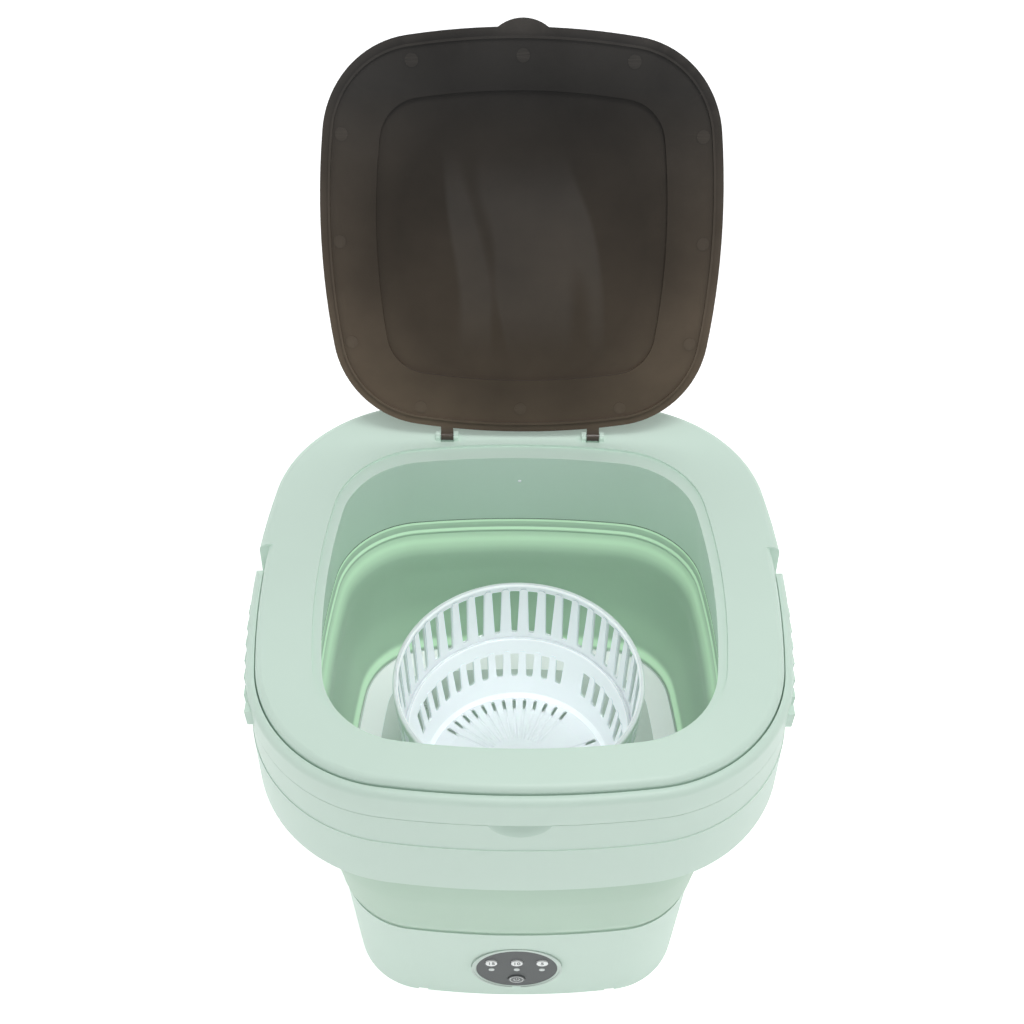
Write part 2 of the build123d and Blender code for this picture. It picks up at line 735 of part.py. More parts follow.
with BuildPart() as lid:
    lid_block(lid_outline, LID_UNDERSIDE, LID_TOP)
    with BuildSketch(LID_PLANE.offset(LID_UNDERSIDE)):
        with Locations((0, tab_y - LID_TAB_LENGTH + TAB_DISC_RADIUS)):
            Circle(TAB_DISC_RADIUS)
    extrude(amount=LID_PLATE)
    lid_block(lid_outline.grown(-LID_MIDDLE_INSET), LID_TOP, LID_TOP + LID_MIDDLE_RISE)
    lid_block(
        lid_outline.grown(-LID_MIDDLE_INSET - LID_PLATE),
        LID_UNDERSIDE,
        LID_UNDERSIDE + LID_MIDDLE_RISE,
        mode=Mode.SUBTRACT,
    )
    rib = lid_outline.grown(-LID_RIB_INSET)
    with BuildSketch(LID_PLANE.offset(LID_UNDERSIDE - LID_RIB_DEPTH)) as rib_sketch:
        add(face_of(rib))
        add(face_of(rib.grown(-LID_RIB_WIDTH)), mode=Mode.SUBTRACT)
    extrude(amount=LID_RIB_DEPTH)
    with BuildSketch(LID_PLANE.offset(LID_UNDERSIDE)):
        for x, y in EJECTOR_PLACES:
            spots = {(x, y - LID_TO_HINGE), (-x, y - LID_TO_HINGE)}
            with Locations(*sorted(spots)):
                Circle(EJECTOR_RADIUS)
    extrude(amount=-EJECTOR_DEPTH)
    for x in (-HINGE_SPREAD, HINGE_SPREAD):
        with BuildSketch(LID_PLANE.offset(LID_UNDERSIDE)):
            with Locations((x, -1.5 * LID_TO_HINGE)):
                Rectangle(TONGUE_WIDTH, 3 * LID_TO_HINGE)
        extrude(amount=LID_PLATE)
        with Locations(Location((x, HINGE_Y, HINGE_LEVEL), (0, 90, 0))):
            Cylinder(TONGUE_RADIUS, TONGUE_WIDTH)
            Cylinder(HINGE_BAR_RADIUS + RUNNING, TONGUE_WIDTH, mode=Mode.SUBTRACT)
write(lid, "lid")

# Bellows, and the ring that clamps it round the lower edge of the collar
sleeve_in = SEAM_GROWTH + COLLAR_WALL + SNUG
sleeve_out = sleeve_in + BELLOWS_WALL
bellows_outer = (
    (2.0, BASE_TOP),
    (2.0, BASE_TOP + 3),
    (4.8, BASE_TOP + 11),
    (5.8, BASE_TOP + 23),
    (8.8, BASE_TOP + 53),
    (10.0, BASE_TOP + 68),
    (10.3, BASE_TOP + 93),
    (9.0, SEAM_LEVEL - 19),
    (8.2, SEAM_LEVEL - 11),
    (sleeve_out, SEAM_LEVEL - FOLD_DROP),
    (sleeve_out, SEAM_LEVEL + SLEEVE_HEIGHT),
)
bellows_inner = [(bellows_outer[0][0] - BELLOWS_WALL, BASE_TOP)]
bellows_inner += [(grow - BELLOWS_WALL, level + INNER_LIFT) for grow, level in bellows_outer[1:9]]
bellows_inner += [(SEAM_GROWTH, SEAM_LEVEL - FOLD_DROP - INNER_LIFT), (SEAM_GROWTH, SEAM_LEVEL)]

with BuildPart() as bellows:
    stack(bellows_outer, base)
    stack(bellows_inner, base, mode=Mode.SUBTRACT)
    block(base.grown(sleeve_in), SEAM_LEVEL, SEAM_LEVEL + SLEEVE_HEIGHT, mode=Mode.SUBTRACT)
write(bellows, "bellows")

with BuildPart() as bellows_clamp_ring:
    clamp_inner = base.grown(sleeve_out + SNUG)
    block(clamp_inner.grown(BELLOWS_WALL), SEAM_LEVEL - CLAMP_DROP, SEAM_LEVEL + SLEEVE_HEIGHT)
    block(clamp_inner, SEAM_LEVEL - CLAMP_DROP, SEAM_LEVEL + SLEEVE_HEIGHT, mode=Mode.SUBTRACT)
write(bellows_clamp_ring, "bellows_clamp_ring")

# Tub floor: a tray with a sloping rim, a boss for the bearing and seal, and four standoffs under it
tray_rim = base.grown(BASE_FLARE - WALL - SNUG)
BEARING_TOP = FLOOR_UNDERSIDE - BEARING_DROP
BEARING_BOTTOM = BEARING_TOP - BEARING_WIDTH
BRACKET_TOP = FLOOR_UNDERSIDE - BRACKET_DROP
MOTOR_X = GEAR_MODULE * (GEAR_TEETH + PINION_TEETH) / 2
standoff_places = [(x, y) for x in STANDOFF_X for y in STANDOFF_Y]

with BuildPart() as tub_floor:
    taper(
        tray_rim.grown(TRAY_LIP - TRAY_LEDGE - FLOOR_SLOPE_INSET),
        FLOOR_UNDERSIDE,
        tray_rim.grown(-TRAY_LEDGE),
        BASE_TOP - FLOOR_THICKNESS,
    )
    block(tray_rim, BASE_TOP - FLOOR_THICKNESS, BASE_TOP)
    taper(
        tray_rim.grown(-FLOOR_SLOPE_INSET),
        FLOOR_LEVEL,
        tray_rim.grown(-TRAY_LIP),
        BASE_TOP,
        mode=Mode.SUBTRACT,
    )
    bar(0, 0, BEARING_BOTTOM - FLOOR_LIP, FLOOR_LEVEL, BEARING_RADIUS + BEARING_BOSS_WALL)
    drill(0, 0, BEARING_BOTTOM - FLOOR_LIP, BEARING_TOP, BEARING_RADIUS + RUNNING)
    drill(0, 0, BEARING_TOP, FLOOR_LEVEL - FLOOR_LIP, SEAL_RADIUS + RUNNING)
    drill(0, 0, FLOOR_LEVEL - FLOOR_LIP, FLOOR_LEVEL, SHAFT_RADIUS + LOOSE)
    for x, y in standoff_places:
        bar(x, y, BRACKET_TOP, FLOOR_UNDERSIDE + FLOOR_LIP, STANDOFF_RADIUS)
        drill(x, y, BRACKET_TOP, BRACKET_TOP + BOSS_BORE_DEPTH, SCREW_RADIUS + RUNNING)
    drill(DRAIN_X, DRAIN_Y, FLOOR_LEVEL - FLOOR_LIP, FLOOR_LEVEL, STRAINER_RADIUS + SNUG)
    drill(DRAIN_X, DRAIN_Y, FLOOR_UNDERSIDE, FLOOR_LEVEL, DRAIN_BORE_RADIUS)
write(tub_floor, "tub_floor")


def shaft_ring(low, high, radius):
    """A ring round the drive shaft between two levels."""
    bar(0, 0, low, high, radius)
    drill(0, 0, low, high, SHAFT_RADIUS + RUNNING)


with BuildPart() as upper_bearing:
    shaft_ring(BEARING_BOTTOM, BEARING_TOP, BEARING_RADIUS)
write(upper_bearing, "upper_bearing")

with BuildPart() as shaft_seal:
    shaft_ring(BEARING_TOP, BEARING_TOP + SEAL_WIDTH, SEAL_RADIUS)
write(shaft_seal, "shaft_seal")

with BuildPart() as drain_strainer:
    bar(DRAIN_X, DRAIN_Y, FLOOR_LEVEL - FLOOR_LIP, FLOOR_LEVEL + STRAINER_PROUD, STRAINER_RADIUS)
    with BuildSketch(Plane.XY.offset(FLOOR_LEVEL - FLOOR_LIP)):
        with Locations((DRAIN_X, DRAIN_Y)):
            for radius, holes in STRAINER_RINGS:
                with PolarLocations(radius, holes):
                    Circle(STRAINER_HOLE_RADIUS)
    extrude(amount=2 * FLOOR_LIP, mode=Mode.SUBTRACT)
write(drain_strainer, "drain_strainer")

# Drain pipe down from the tray and out through the rear wall, with its pull-off cap
DRAIN_LEVEL = BASE_BOTTOM + DRAIN_HEIGHT
rear_wall_y = base.rear_y(DRAIN_X) + base_grow(DRAIN_LEVEL)
pipe_end = rear_wall_y + DRAIN_REACH

with BuildPart() as drain_pipe:
    bar(DRAIN_X, DRAIN_Y, DRAIN_LEVEL, FLOOR_UNDERSIDE, DRAIN_OUTER_RADIUS)
    with Locations((DRAIN_X, DRAIN_Y, DRAIN_LEVEL)):
        Sphere(DRAIN_OUTER_RADIUS)
    rod(DRAIN_X, DRAIN_LEVEL, DRAIN_Y, pipe_end, DRAIN_OUTER_RADIUS)
    drill(DRAIN_X, DRAIN_Y, DRAIN_LEVEL, FLOOR_UNDERSIDE, DRAIN_BORE_RADIUS)
    with Locations((DRAIN_X, DRAIN_Y, DRAIN_LEVEL)):
        Sphere(DRAIN_BORE_RADIUS, mode=Mode.SUBTRACT)
    bore(DRAIN_X, DRAIN_LEVEL, DRAIN_Y, pipe_end, DRAIN_BORE_RADIUS)
write(drain_pipe, "drain_pipe")

with BuildPart() as drain_cap:
    cap_bore = DRAIN_OUTER_RADIUS + RUNNING
    cap_start = pipe_end + LOOSE - CAP_DEPTH
    rod(DRAIN_X, DRAIN_LEVEL, cap_start, pipe_end + LOOSE + CAP_WALL, cap_bore + CAP_WALL)
    bore(DRAIN_X, DRAIN_LEVEL, cap_start, pipe_end + LOOSE, cap_bore)
write(drain_cap, "drain_cap")

# Base housing, open below, with a ledge for the tub floor and posts for the bottom cover
POST_INSET = WALL + POST_TO_WALL
COVER_LEVEL = BASE_BOTTOM + COVER_LIFT
COVER_TOP = COVER_LEVEL + COVER_THICKNESS
PANEL_LEVEL = BASE_BOTTOM + PANEL_HEIGHT
bezel_radius = PANEL_RADIUS + BEZEL_WIDTH
panel_skin_y = base.front_y(0) - base_grow(PANEL_LEVEL)
bezel_front = panel_skin_y - PANEL_PROUD
overlay_front = bezel_front + BEZEL_LIP
plate_front = overlay_front + OVERLAY_THICKNESS
plate_rear = plate_front + PANEL_PLATE
SOCKET_LEVEL = BASE_BOTTOM + SOCKET_HEIGHT
cover_posts = [
    (x, side * (base.rear_y(x) - POST_INSET))
    for x in (-POST_X, POST_X)
    for side in (-1, 1)
]
cover_posts += [(side * (base.side_x(0) - POST_INSET), 0) for side in (-1, 1)]

with BuildPart() as base_housing:
    taper(base, BASE_BOTTOM, base.grown(BASE_FLARE), BASE_TOP)
    taper(base.grown(-WALL), BASE_BOTTOM, base.grown(BASE_FLARE - WALL), BASE_TOP, mode=Mode.SUBTRACT)
    block(
        base.grown(BASE_FLARE / 3),
        BASE_TOP - FLOOR_THICKNESS - LEDGE_DEPTH,
        BASE_TOP - FLOOR_THICKNESS,
    )
    block(
        base.grown(-TRAY_LEDGE + SNUG),
        BASE_TOP - FLOOR_THICKNESS - LEDGE_DEPTH,
        BASE_TOP - FLOOR_THICKNESS,
        mode=Mode.SUBTRACT,
    )
    for x, y in cover_posts:
        bar(x, y, COVER_TOP, COVER_TOP + POST_HEIGHT, POST_RADIUS)
        drill(x, y, COVER_TOP, COVER_TOP + POST_BORE_DEPTH, SCREW_RADIUS + RUNNING)
    bore(0, PANEL_LEVEL, -BASE_HALF - CUT, CUT - BASE_HALF, bezel_radius + SNUG)
    bore(SOCKET_X, SOCKET_LEVEL, BASE_HALF - CUT, BASE_HALF + CUT, SOCKET_RADIUS + SNUG)
    bore(DRAIN_X, DRAIN_LEVEL, BASE_HALF - CUT, BASE_HALF + CUT, DRAIN_OUTER_RADIUS + SNUG)
    for x in (-NOTCH_X, NOTCH_X):
        cuboid(
            (x - NOTCH_WIDTH / 2, x + NOTCH_WIDTH / 2),
            (-BASE_HALF - CUT, CUT - BASE_HALF),
            (BASE_BOTTOM, BASE_BOTTOM + NOTCH_HEIGHT),
            mode=Mode.SUBTRACT,
        )
write(base_housing, "base_housing")

with BuildPart() as bottom_cover:
    block(base.grown(-WALL - LOOSE), COVER_LEVEL, COVER_TOP)
    for x, y in cover_posts:
        drill(x, y, COVER_LEVEL, COVER_TOP, SCREW_RADIUS + SNUG)
        drill(x, y, COVER_LEVEL, COVER_LEVEL + HEAD_SINK, SCREW_HEAD_RADIUS + SNUG)
    with BuildSketch(Plane.XY.offset(COVER_LEVEL)):
        with Locations((MOTOR_X, 0)):
            with GridLocations(0, VENT_PITCH, 1, VENT_COUNT):
                SlotOverall(VENT_LENGTH, VENT_WIDTH)
    extrude(amount=COVER_THICKNESS, mode=Mode.SUBTRACT)
write(bottom_cover, "bottom_cover")

with BuildPart() as cover_screws:
    for x, y in cover_posts:
        screw(x, y, COVER_LEVEL + HEAD_SINK, COVER_SCREW_LENGTH)
write(cover_screws, "cover_screws")

with BuildPart() as feet:
    bar(0, 0, 0, COVER_LEVEL, FOOT_RADIUS)
    for x in (-FOOT_SPACING / 2, FOOT_SPACING / 2):
        for y in (-FOOT_SPACING / 2, FOOT_SPACING / 2):
            bar(x, y, 0, COVER_LEVEL, FOOT_RADIUS)
write(feet, "feet")

# Bracket under the tub floor with the lower bearing and the motor
LOWER_BEARING_TOP = BRACKET_TOP - BRACKET_THICKNESS
CUP_BOTTOM = LOWER_BEARING_TOP - BEARING_WIDTH - CUP_FLOOR
BRACKET_WIDTH = STANDOFF_X[1] - STANDOFF_X[0] + 2 * BRACKET_MARGIN
BRACKET_DEPTH = STANDOFF_Y[1] - STANDOFF_Y[0] + 2 * BRACKET_MARGIN

with BuildPart() as drive_bracket:
    with BuildSketch(Plane.XY.offset(BRACKET_TOP - BRACKET_THICKNESS)):
        with Locations((sum(STANDOFF_X) / 2, sum(STANDOFF_Y) / 2)):
            RectangleRounded(BRACKET_WIDTH, BRACKET_DEPTH, BRACKET_ROUND)
    extrude(amount=BRACKET_THICKNESS)
    bar(0, 0, CUP_BOTTOM, BRACKET_TOP - BRACKET_THICKNESS, BEARING_RADIUS + WALL)
    drill(0, 0, CUP_BOTTOM, BRACKET_TOP, SHAFT_RADIUS + SHAFT_COLLAR)
    drill(0, 0, CUP_BOTTOM + CUP_FLOOR, BRACKET_TOP, BEARING_RADIUS + RUNNING)
    motor_hole = MOTOR_BOSS_RADIUS + 2 * LOOSE
    drill(MOTOR_X, 0, BRACKET_TOP - BRACKET_THICKNESS, BRACKET_TOP, motor_hole)
    for x, y in standoff_places:
        drill(x, y, BRACKET_TOP - BRACKET_THICKNESS, BRACKET_TOP, SCREW_RADIUS + SNUG)
    for side in (-1, 1):
        x = MOTOR_X + side * MOTOR_SCREW_SPACING
        drill(x, 0, BRACKET_TOP - BRACKET_THICKNESS, BRACKET_TOP, SCREW_RADIUS + SNUG)
write(drive_bracket, "drive_bracket")

with BuildPart() as bracket_screws:
    for x, y in standoff_places:
        screw(x, y, BRACKET_TOP - BRACKET_THICKNESS, BRACKET_SCREW_LENGTH)
write(bracket_screws, "bracket_screws")

with BuildPart() as lower_bearing:
    shaft_ring(LOWER_BEARING_TOP - BEARING_WIDTH, LOWER_BEARING_TOP, BEARING_RADIUS)
write(lower_bearing, "lower_bearing")

motor_top = BRACKET_TOP - BRACKET_THICKNESS
motor_roof = motor_top - MOTOR_TOP_WALL
motor_boss = motor_top + MOTOR_BOSS_HEIGHT
motor_bottom = motor_top - MOTOR_LENGTH
end_cap_bottom = motor_bottom - END_CAP_THICKNESS
end_cap_top = motor_bottom + END_CAP_HEIGHT
with BuildPart() as motor_can:
    bar(MOTOR_X, 0, motor_bottom, motor_top, MOTOR_RADIUS)
    drill(MOTOR_X, 0, motor_bottom, motor_roof, MOTOR_RADIUS - MOTOR_WALL)
    bar(MOTOR_X, 0, motor_top, motor_boss, MOTOR_BOSS_RADIUS)
    drill(MOTOR_X, 0, motor_roof, motor_boss, MOTOR_SHAFT_RADIUS + RUNNING)
    for side in (-1, 1):
        x = MOTOR_X + side * MOTOR_SCREW_SPACING
        drill(x, 0, motor_roof, motor_top, SCREW_RADIUS + RUNNING)
write(motor_can, "motor_can")

with BuildPart() as motor_end_cap:
    bar(MOTOR_X, 0, end_cap_bottom, motor_bottom, MOTOR_RADIUS)
    bar(MOTOR_X, 0, motor_bottom, end_cap_top, MOTOR_RADIUS - MOTOR_WALL - RUNNING)
    drill(MOTOR_X, 0, end_cap_bottom, end_cap_top, MOTOR_SHAFT_RADIUS + RUNNING)
write(motor_end_cap, "motor_end_cap")

with BuildPart() as motor_screws:
    for side in (-1, 1):
        screw(MOTOR_X + side * MOTOR_SCREW_SPACING, 0, BRACKET_TOP, -MOTOR_SCREW_LENGTH)
write(motor_screws, "motor_screws")

# Gears with involute teeth, thinned for backlash
GEAR_BOTTOM = BRACKET_TOP + GEAR_LIFT


def involute(angle):
    """The involute function of a pressure angle in radians."""
    return math.tan(angle) - angle


def gear_points(teeth, turn):
    """Corner points of a spur gear; the turn is in degrees."""
    pitch = GEAR_MODULE * teeth / 2
    foot = pitch * math.cos(math.radians(PRESSURE_ANGLE))
    tip = pitch + GEAR_MODULE
    root = pitch - GEAR_DEDENDUM * GEAR_MODULE
    half = math.pi / (2 * teeth) - GEAR_BACKLASH / (2 * pitch)
    start = max(foot, root)
    radii = [start + (tip - start) * step / FLANK_STEPS for step in range(FLANK_STEPS + 1)]
    flank = []
    if root < foot:
        flank.append((root, half + involute(math.radians(PRESSURE_ANGLE))))
    for radius in radii:
        lean = math.acos(min(1.0, foot / radius))
        flank.append((radius, half + involute(math.radians(PRESSURE_ANGLE)) - involute(lean)))
    points = []
    for tooth in range(teeth):
        centre = 2 * math.pi * tooth / teeth + math.radians(turn)
        sides = [(radius, centre - angle) for radius, angle in flank]
        sides += [(radius, centre + angle) for radius, angle in reversed(flank)]
        points += [(radius * math.cos(angle), radius * math.sin(angle)) for radius, angle in sides]
    return points


def gear(x, teeth, turn, bore):
    """A spur gear at an X, drawn as one closed polygon."""
    with BuildSketch(Plane.XY.offset(GEAR_BOTTOM)) as sketch:
        with BuildLine(Location((x, 0))):
            Polyline(*gear_points(teeth, turn), close=True)
        make_face()
        with Locations((x, 0)):
            Circle(bore, mode=Mode.SUBTRACT)
    extrude(sketch.sketch, amount=GEAR_WIDTH)


with BuildPart() as driven_gear:
    gear(0, GEAR_TEETH, 0, SHAFT_RADIUS + RUNNING)
write(driven_gear, "driven_gear")

with BuildPart() as pinion:
    gear(MOTOR_X, PINION_TEETH, 180 / PINION_TEETH, MOTOR_SHAFT_RADIUS + RUNNING)
write(pinion, "pinion")

with BuildPart() as motor_shaft:
    shaft_low = end_cap_bottom + MOTOR_SHAFT_END
    shaft_high = GEAR_BOTTOM + GEAR_WIDTH + MOTOR_SHAFT_END
    rotor_radius = MOTOR_RADIUS - MOTOR_WALL - MAGNET_DEPTH
    bar(MOTOR_X, 0, shaft_low, shaft_high, MOTOR_SHAFT_RADIUS)
    bar(MOTOR_X, 0, end_cap_top + ROTOR_GAP, motor_roof - ROTOR_GAP, rotor_radius)
write(motor_shaft, "motor_shaft")

# Drive shaft with a collar over the lower bearing and one under the upper bearing
HUB_LEVEL = FLOOR_LEVEL + PULSATOR_GAP
HUB_TOP = HUB_LEVEL + PULSATOR_HUB_HEIGHT
SHAFT_TOP = HUB_TOP - HUB_SINK
with BuildPart() as drive_shaft:
    bar(0, 0, CUP_BOTTOM, SHAFT_TOP, SHAFT_RADIUS)
    bar(0, 0, LOWER_BEARING_TOP + LOOSE, GEAR_BOTTOM, SHAFT_RADIUS + SHAFT_COLLAR)
    bar(0, 0, GEAR_BOTTOM + GEAR_WIDTH, BEARING_BOTTOM - LOOSE, SHAFT_RADIUS + SHAFT_COLLAR)
    drill(0, 0, SHAFT_TOP - SHAFT_BORE_DEPTH, SHAFT_TOP, SCREW_RADIUS + RUNNING)
write(drive_shaft, "drive_shaft")

# Pulsator under the basket
with BuildPart() as pulsator:
    bar(0, 0, HUB_LEVEL, HUB_LEVEL + PULSATOR_THICKNESS, PULSATOR_RADIUS)
    bar(0, 0, HUB_LEVEL, HUB_TOP, PULSATOR_HUB_RADIUS)
    with BuildSketch(Plane.XY.offset(HUB_LEVEL)):
        with PolarLocations(VANE_MIDDLE, VANE_COUNT):
            SlotOverall(VANE_LENGTH, VANE_WIDTH)
    extrude(amount=PULSATOR_THICKNESS + VANE_HEIGHT)
    drill(0, 0, HUB_LEVEL, SHAFT_TOP, SHAFT_RADIUS + RUNNING)
    drill(0, 0, SHAFT_TOP, SHAFT_TOP + HUB_CAP, SCREW_RADIUS + SNUG)
    drill(0, 0, SHAFT_TOP + HUB_CAP, HUB_TOP, SCREW_HEAD_RADIUS + LOOSE)
write(pulsator, "pulsator")

with BuildPart() as pulsator_screw:
    screw(0, 0, SHAFT_TOP + HUB_CAP, -PULSATOR_SCREW_LENGTH)
write(pulsator_screw, "pulsator_screw")

# Basket bowl, which turns with the pulsator
BOWL_BOTTOM = FLOOR_LEVEL + BOWL_FLOOR_LIFT
BOWL_TOP = BOWL_BOTTOM + BOWL_HEIGHT
bowl_slope = (BOWL_RIM_RADIUS - RIM_FLARE - BOWL_BOTTOM_RADIUS) / (BOWL_HEIGHT - RIM_DEPTH)


def bowl_outer(level):
    """Outer radius of the bowl's wall at a level."""
    return BOWL_BOTTOM_RADIUS + bowl_slope * (level - BOWL_BOTTOM)


bowl_bevel_top = BOWL_BOTTOM + BOWL_INNER_BEVEL
bowl_profile = (
    (0, BOWL_BOTTOM + CONE_RISE),
    (CONE_INNER, BOWL_BOTTOM + CONE_RISE),
    (CONE_OUTER, BOWL_BOTTOM),
    (BOWL_BOTTOM_RADIUS - BOWL_BEVEL, BOWL_BOTTOM),
    (BOWL_BOTTOM_RADIUS, BOWL_BOTTOM + BOWL_BEVEL),
    (bowl_outer(BOWL_TOP - RIM_DEPTH), BOWL_TOP - RIM_DEPTH),
    (BOWL_RIM_RADIUS, BOWL_TOP - RIM_DEPTH),
    (BOWL_RIM_RADIUS, BOWL_TOP),
    (bowl_outer(BOWL_TOP) - BASKET_WALL, BOWL_TOP),
    (bowl_outer(bowl_bevel_top) - BASKET_WALL, bowl_bevel_top + BASKET_WALL),
    (BOWL_BOTTOM_RADIUS - BASKET_WALL - BOWL_INNER_BEVEL, BOWL_BOTTOM + BASKET_WALL),
    (CONE_OUTER, BOWL_BOTTOM + BASKET_WALL),
    (CONE_INNER, BOWL_BOTTOM + BASKET_WALL + CONE_RISE),
    (0, BOWL_BOTTOM + BASKET_WALL + CONE_RISE),
)
floor_slot_angles = [
    90 + FLOOR_SLOT_TURN + 360 / FLOOR_SLOT_GROUPS * group + FLOOR_SLOT_PITCH * step
    for group in range(FLOOR_SLOT_GROUPS)
    for step in range(-(FLOOR_SLOT_ROW // 2), FLOOR_SLOT_ROW // 2 + 1)
]
wall_slot_angles = [90 - BLANK_ANGLE + 360 / RIB_COUNT * step for step in range(RIB_COUNT)]
bowl_slot_angles = [angle for step, angle in enumerate(wall_slot_angles) if step not in BLANK_STEPS]
rib_angles = [angle + 180 / RIB_COUNT for angle in wall_slot_angles]
bowl_rib_angles = [
    angle
    for step, angle in enumerate(rib_angles)
    if not {step, (step + 1) % RIB_COUNT} & set(BLANK_STEPS)
]


def polar_places(angles, radius):
    """Places at a radius whose X points outward."""
    return [
        Location((radius * math.cos(math.radians(a)), radius * math.sin(math.radians(a)), 0), (0, 0, a))
        for a in angles
    ]


def tapered_slot(low_width, low, high_width, high, round_low, round_high):
    """An upright slot seen along the radius, with rounded corners at both ends."""
    corners = (
        (-low_width / 2, low),
        (low_width / 2, low),
        (high_width / 2, high),
        (-high_width / 2, high),
    )
    with BuildSketch(Plane.YZ) as sketch:
        with BuildLine():
            Polyline(*corners, close=True)
        make_face()
        fillet(sketch.vertices().group_by(Axis.Y)[0], round_low)
        fillet(sketch.vertices().group_by(Axis.Y)[-1], round_high)
    return sketch.sketch


def rib(face, wedge):
    """A raised rib: a face seen along the radius, trimmed by its side view."""
    with BuildPart() as part:
        extrude(face, amount=2 * RING_RIM_RADIUS)
        with BuildSketch(Plane.XZ) as side_view:
            with BuildLine():
                Polyline(*wedge, close=True)
            make_face()
        extrude(side_view.sketch, amount=CUT, both=True, mode=Mode.INTERSECT)
    return part.part


bowl_slot_low = BOWL_BOTTOM + BOWL_SLOT_FROM
bowl_slot_high = BOWL_BOTTOM + BOWL_SLOT_TO
bowl_pitch = 2 * math.pi * bowl_outer(bowl_slot_high) / RIB_COUNT
bowl_rib_low = bowl_slot_low - RIB_REACH
bowl_rib_top = bowl_slot_high + RIB_REACH
bowl_rib = rib(
    tapered_slot(
        bowl_pitch - BOWL_SLOT_BOTTOM_WIDTH - RIB_FOOT_GAP,
        bowl_rib_low,
        bowl_pitch - BOWL_SLOT_TOP_WIDTH - RIB_HEAD_GAP,
        bowl_rib_top,
        RIB_FOOT_ROUND,
        RIB_HEAD_ROUND,
    ),
    (
        (bowl_outer(bowl_rib_low) - BASKET_WALL - RIB_PROUD, bowl_rib_low),
        (bowl_outer(bowl_rib_low) - BASKET_WALL / 2, bowl_rib_low),
        (bowl_outer(bowl_rib_top) - BASKET_WALL / 2, bowl_rib_top),
        (bowl_outer(bowl_rib_top) - BASKET_WALL - RIB_PROUD, bowl_rib_top),
    ),
)
bowl_slot_face = tapered_slot(
    BOWL_SLOT_BOTTOM_WIDTH,
    bowl_slot_low,
    BOWL_SLOT_TOP_WIDTH,
    bowl_slot_high,
    BOWL_SLOT_ROUND,
    SLOT_HEAD_ROUND,
)
with BuildPart() as bowl_slot:
    extrude(bowl_slot_face.moved(Location((BOWL_BOTTOM_RADIUS - CUT, 0, 0))), amount=2 * CUT)

cone_width = CONE_OUTER - CONE_INNER
flute_middle = (FLUTE_FROM + FLUTE_TO) / 2
flute_level = BOWL_BOTTOM + BASKET_WALL + CONE_RISE * (CONE_OUTER - flute_middle) / cone_width
flute_tilt = 90 + math.degrees(math.atan2(CONE_RISE, cone_width))
with BuildPart() as flute:
    with Locations(Location((flute_middle, 0, flute_level), (0, flute_tilt, 0))):
        with Locations((FLUTE_DEPTH - FLUTE_RADIUS, 0, 0)):
            Cylinder(FLUTE_RADIUS, FLUTE_TO - FLUTE_FROM)

with BuildPart() as basket_bowl:
    with BuildSketch(Plane.XZ):
        with BuildLine():
            Polyline(*bowl_profile, close=True)
        make_face()
    revolve(axis=Axis.Z)
    fillet(basket_bowl.edges().group_by(Axis.Z)[-1], RIM_ROUND)
    bar(0, 0, HUB_TOP + SNUG, BOWL_BOTTOM + CONE_RISE + BASKET_WALL / 2, PULSATOR_HUB_RADIUS)
    with Locations(*polar_places(bowl_rib_angles, 0)):
        add(bowl_rib)
    with Locations(*polar_places(bowl_slot_angles, 0)):
        add(bowl_slot.part, mode=Mode.SUBTRACT)
    with Locations(*polar_places(floor_slot_angles, 0)):
        add(flute.part, mode=Mode.SUBTRACT)
    with BuildSketch(Plane.XY.offset(BOWL_BOTTOM - BASKET_WALL / 2)):
        with Locations(*polar_places(floor_slot_angles, (FLOOR_SLOT_FROM + FLOOR_SLOT_TO) / 2)):
            SlotOverall(FLOOR_SLOT_TO - FLOOR_SLOT_FROM, FLOOR_SLOT_WIDTH)
    extrude(amount=2 * BASKET_WALL, mode=Mode.SUBTRACT)
write(basket_bowl, "basket_bowl")

# Basket ring, which telescopes down over the bowl and catches under its rim
RING_BOTTOM = BOWL_TOP - RIM_DEPTH - LIP_DROP
RING_TOP = RING_BOTTOM + RING_HEIGHT
ring_slot_low = RING_BOTTOM + RING_SLOT_FROM
ring_slot_high = RING_BOTTOM + RING_SLOT_TO
ring_rib_low = ring_slot_low - RIB_REACH
ring_rib_top = ring_slot_high + RIB_REACH
bead_level = RING_TOP - RING_BEAD
bead_radius = RING_RIM_RADIUS - RING_BEAD
ring_profile = (
    (BOWL_RIM_RADIUS - LIP_REACH, RING_BOTTOM),
    (BOWL_RIM_RADIUS + LOOSE + BASKET_WALL, RING_BOTTOM),
    (RING_RIM_RADIUS, bead_level),
    (RING_RIM_RADIUS - BASKET_WALL, bead_level),
    (BOWL_RIM_RADIUS + LOOSE, RING_BOTTOM + LIP_HEIGHT),
    (BOWL_RIM_RADIUS - LIP_REACH, RING_BOTTOM + LIP_HEIGHT),
)
ring_pitch = 2 * math.pi * bead_radius / RIB_COUNT
ring_rib = rib(
    tapered_slot(
        ring_pitch - RING_SLOT_BOTTOM_WIDTH - RIB_FOOT_GAP,
        ring_rib_low,
        ring_pitch - RING_SLOT_TOP_WIDTH - RIB_HEAD_GAP,
        ring_rib_top,
        RIB_FOOT_ROUND,
        RIB_HEAD_ROUND,
    ),
    (
        (BOWL_RIM_RADIUS + SNUG, ring_rib_low),
        (BOWL_RIM_RADIUS + BASKET_WALL, ring_rib_low),
        (RING_RIM_RADIUS - BASKET_WALL / 2, ring_rib_top),
        (RING_RIM_RADIUS - BASKET_WALL - 2 * RIB_PROUD, ring_rib_top),
    ),
)
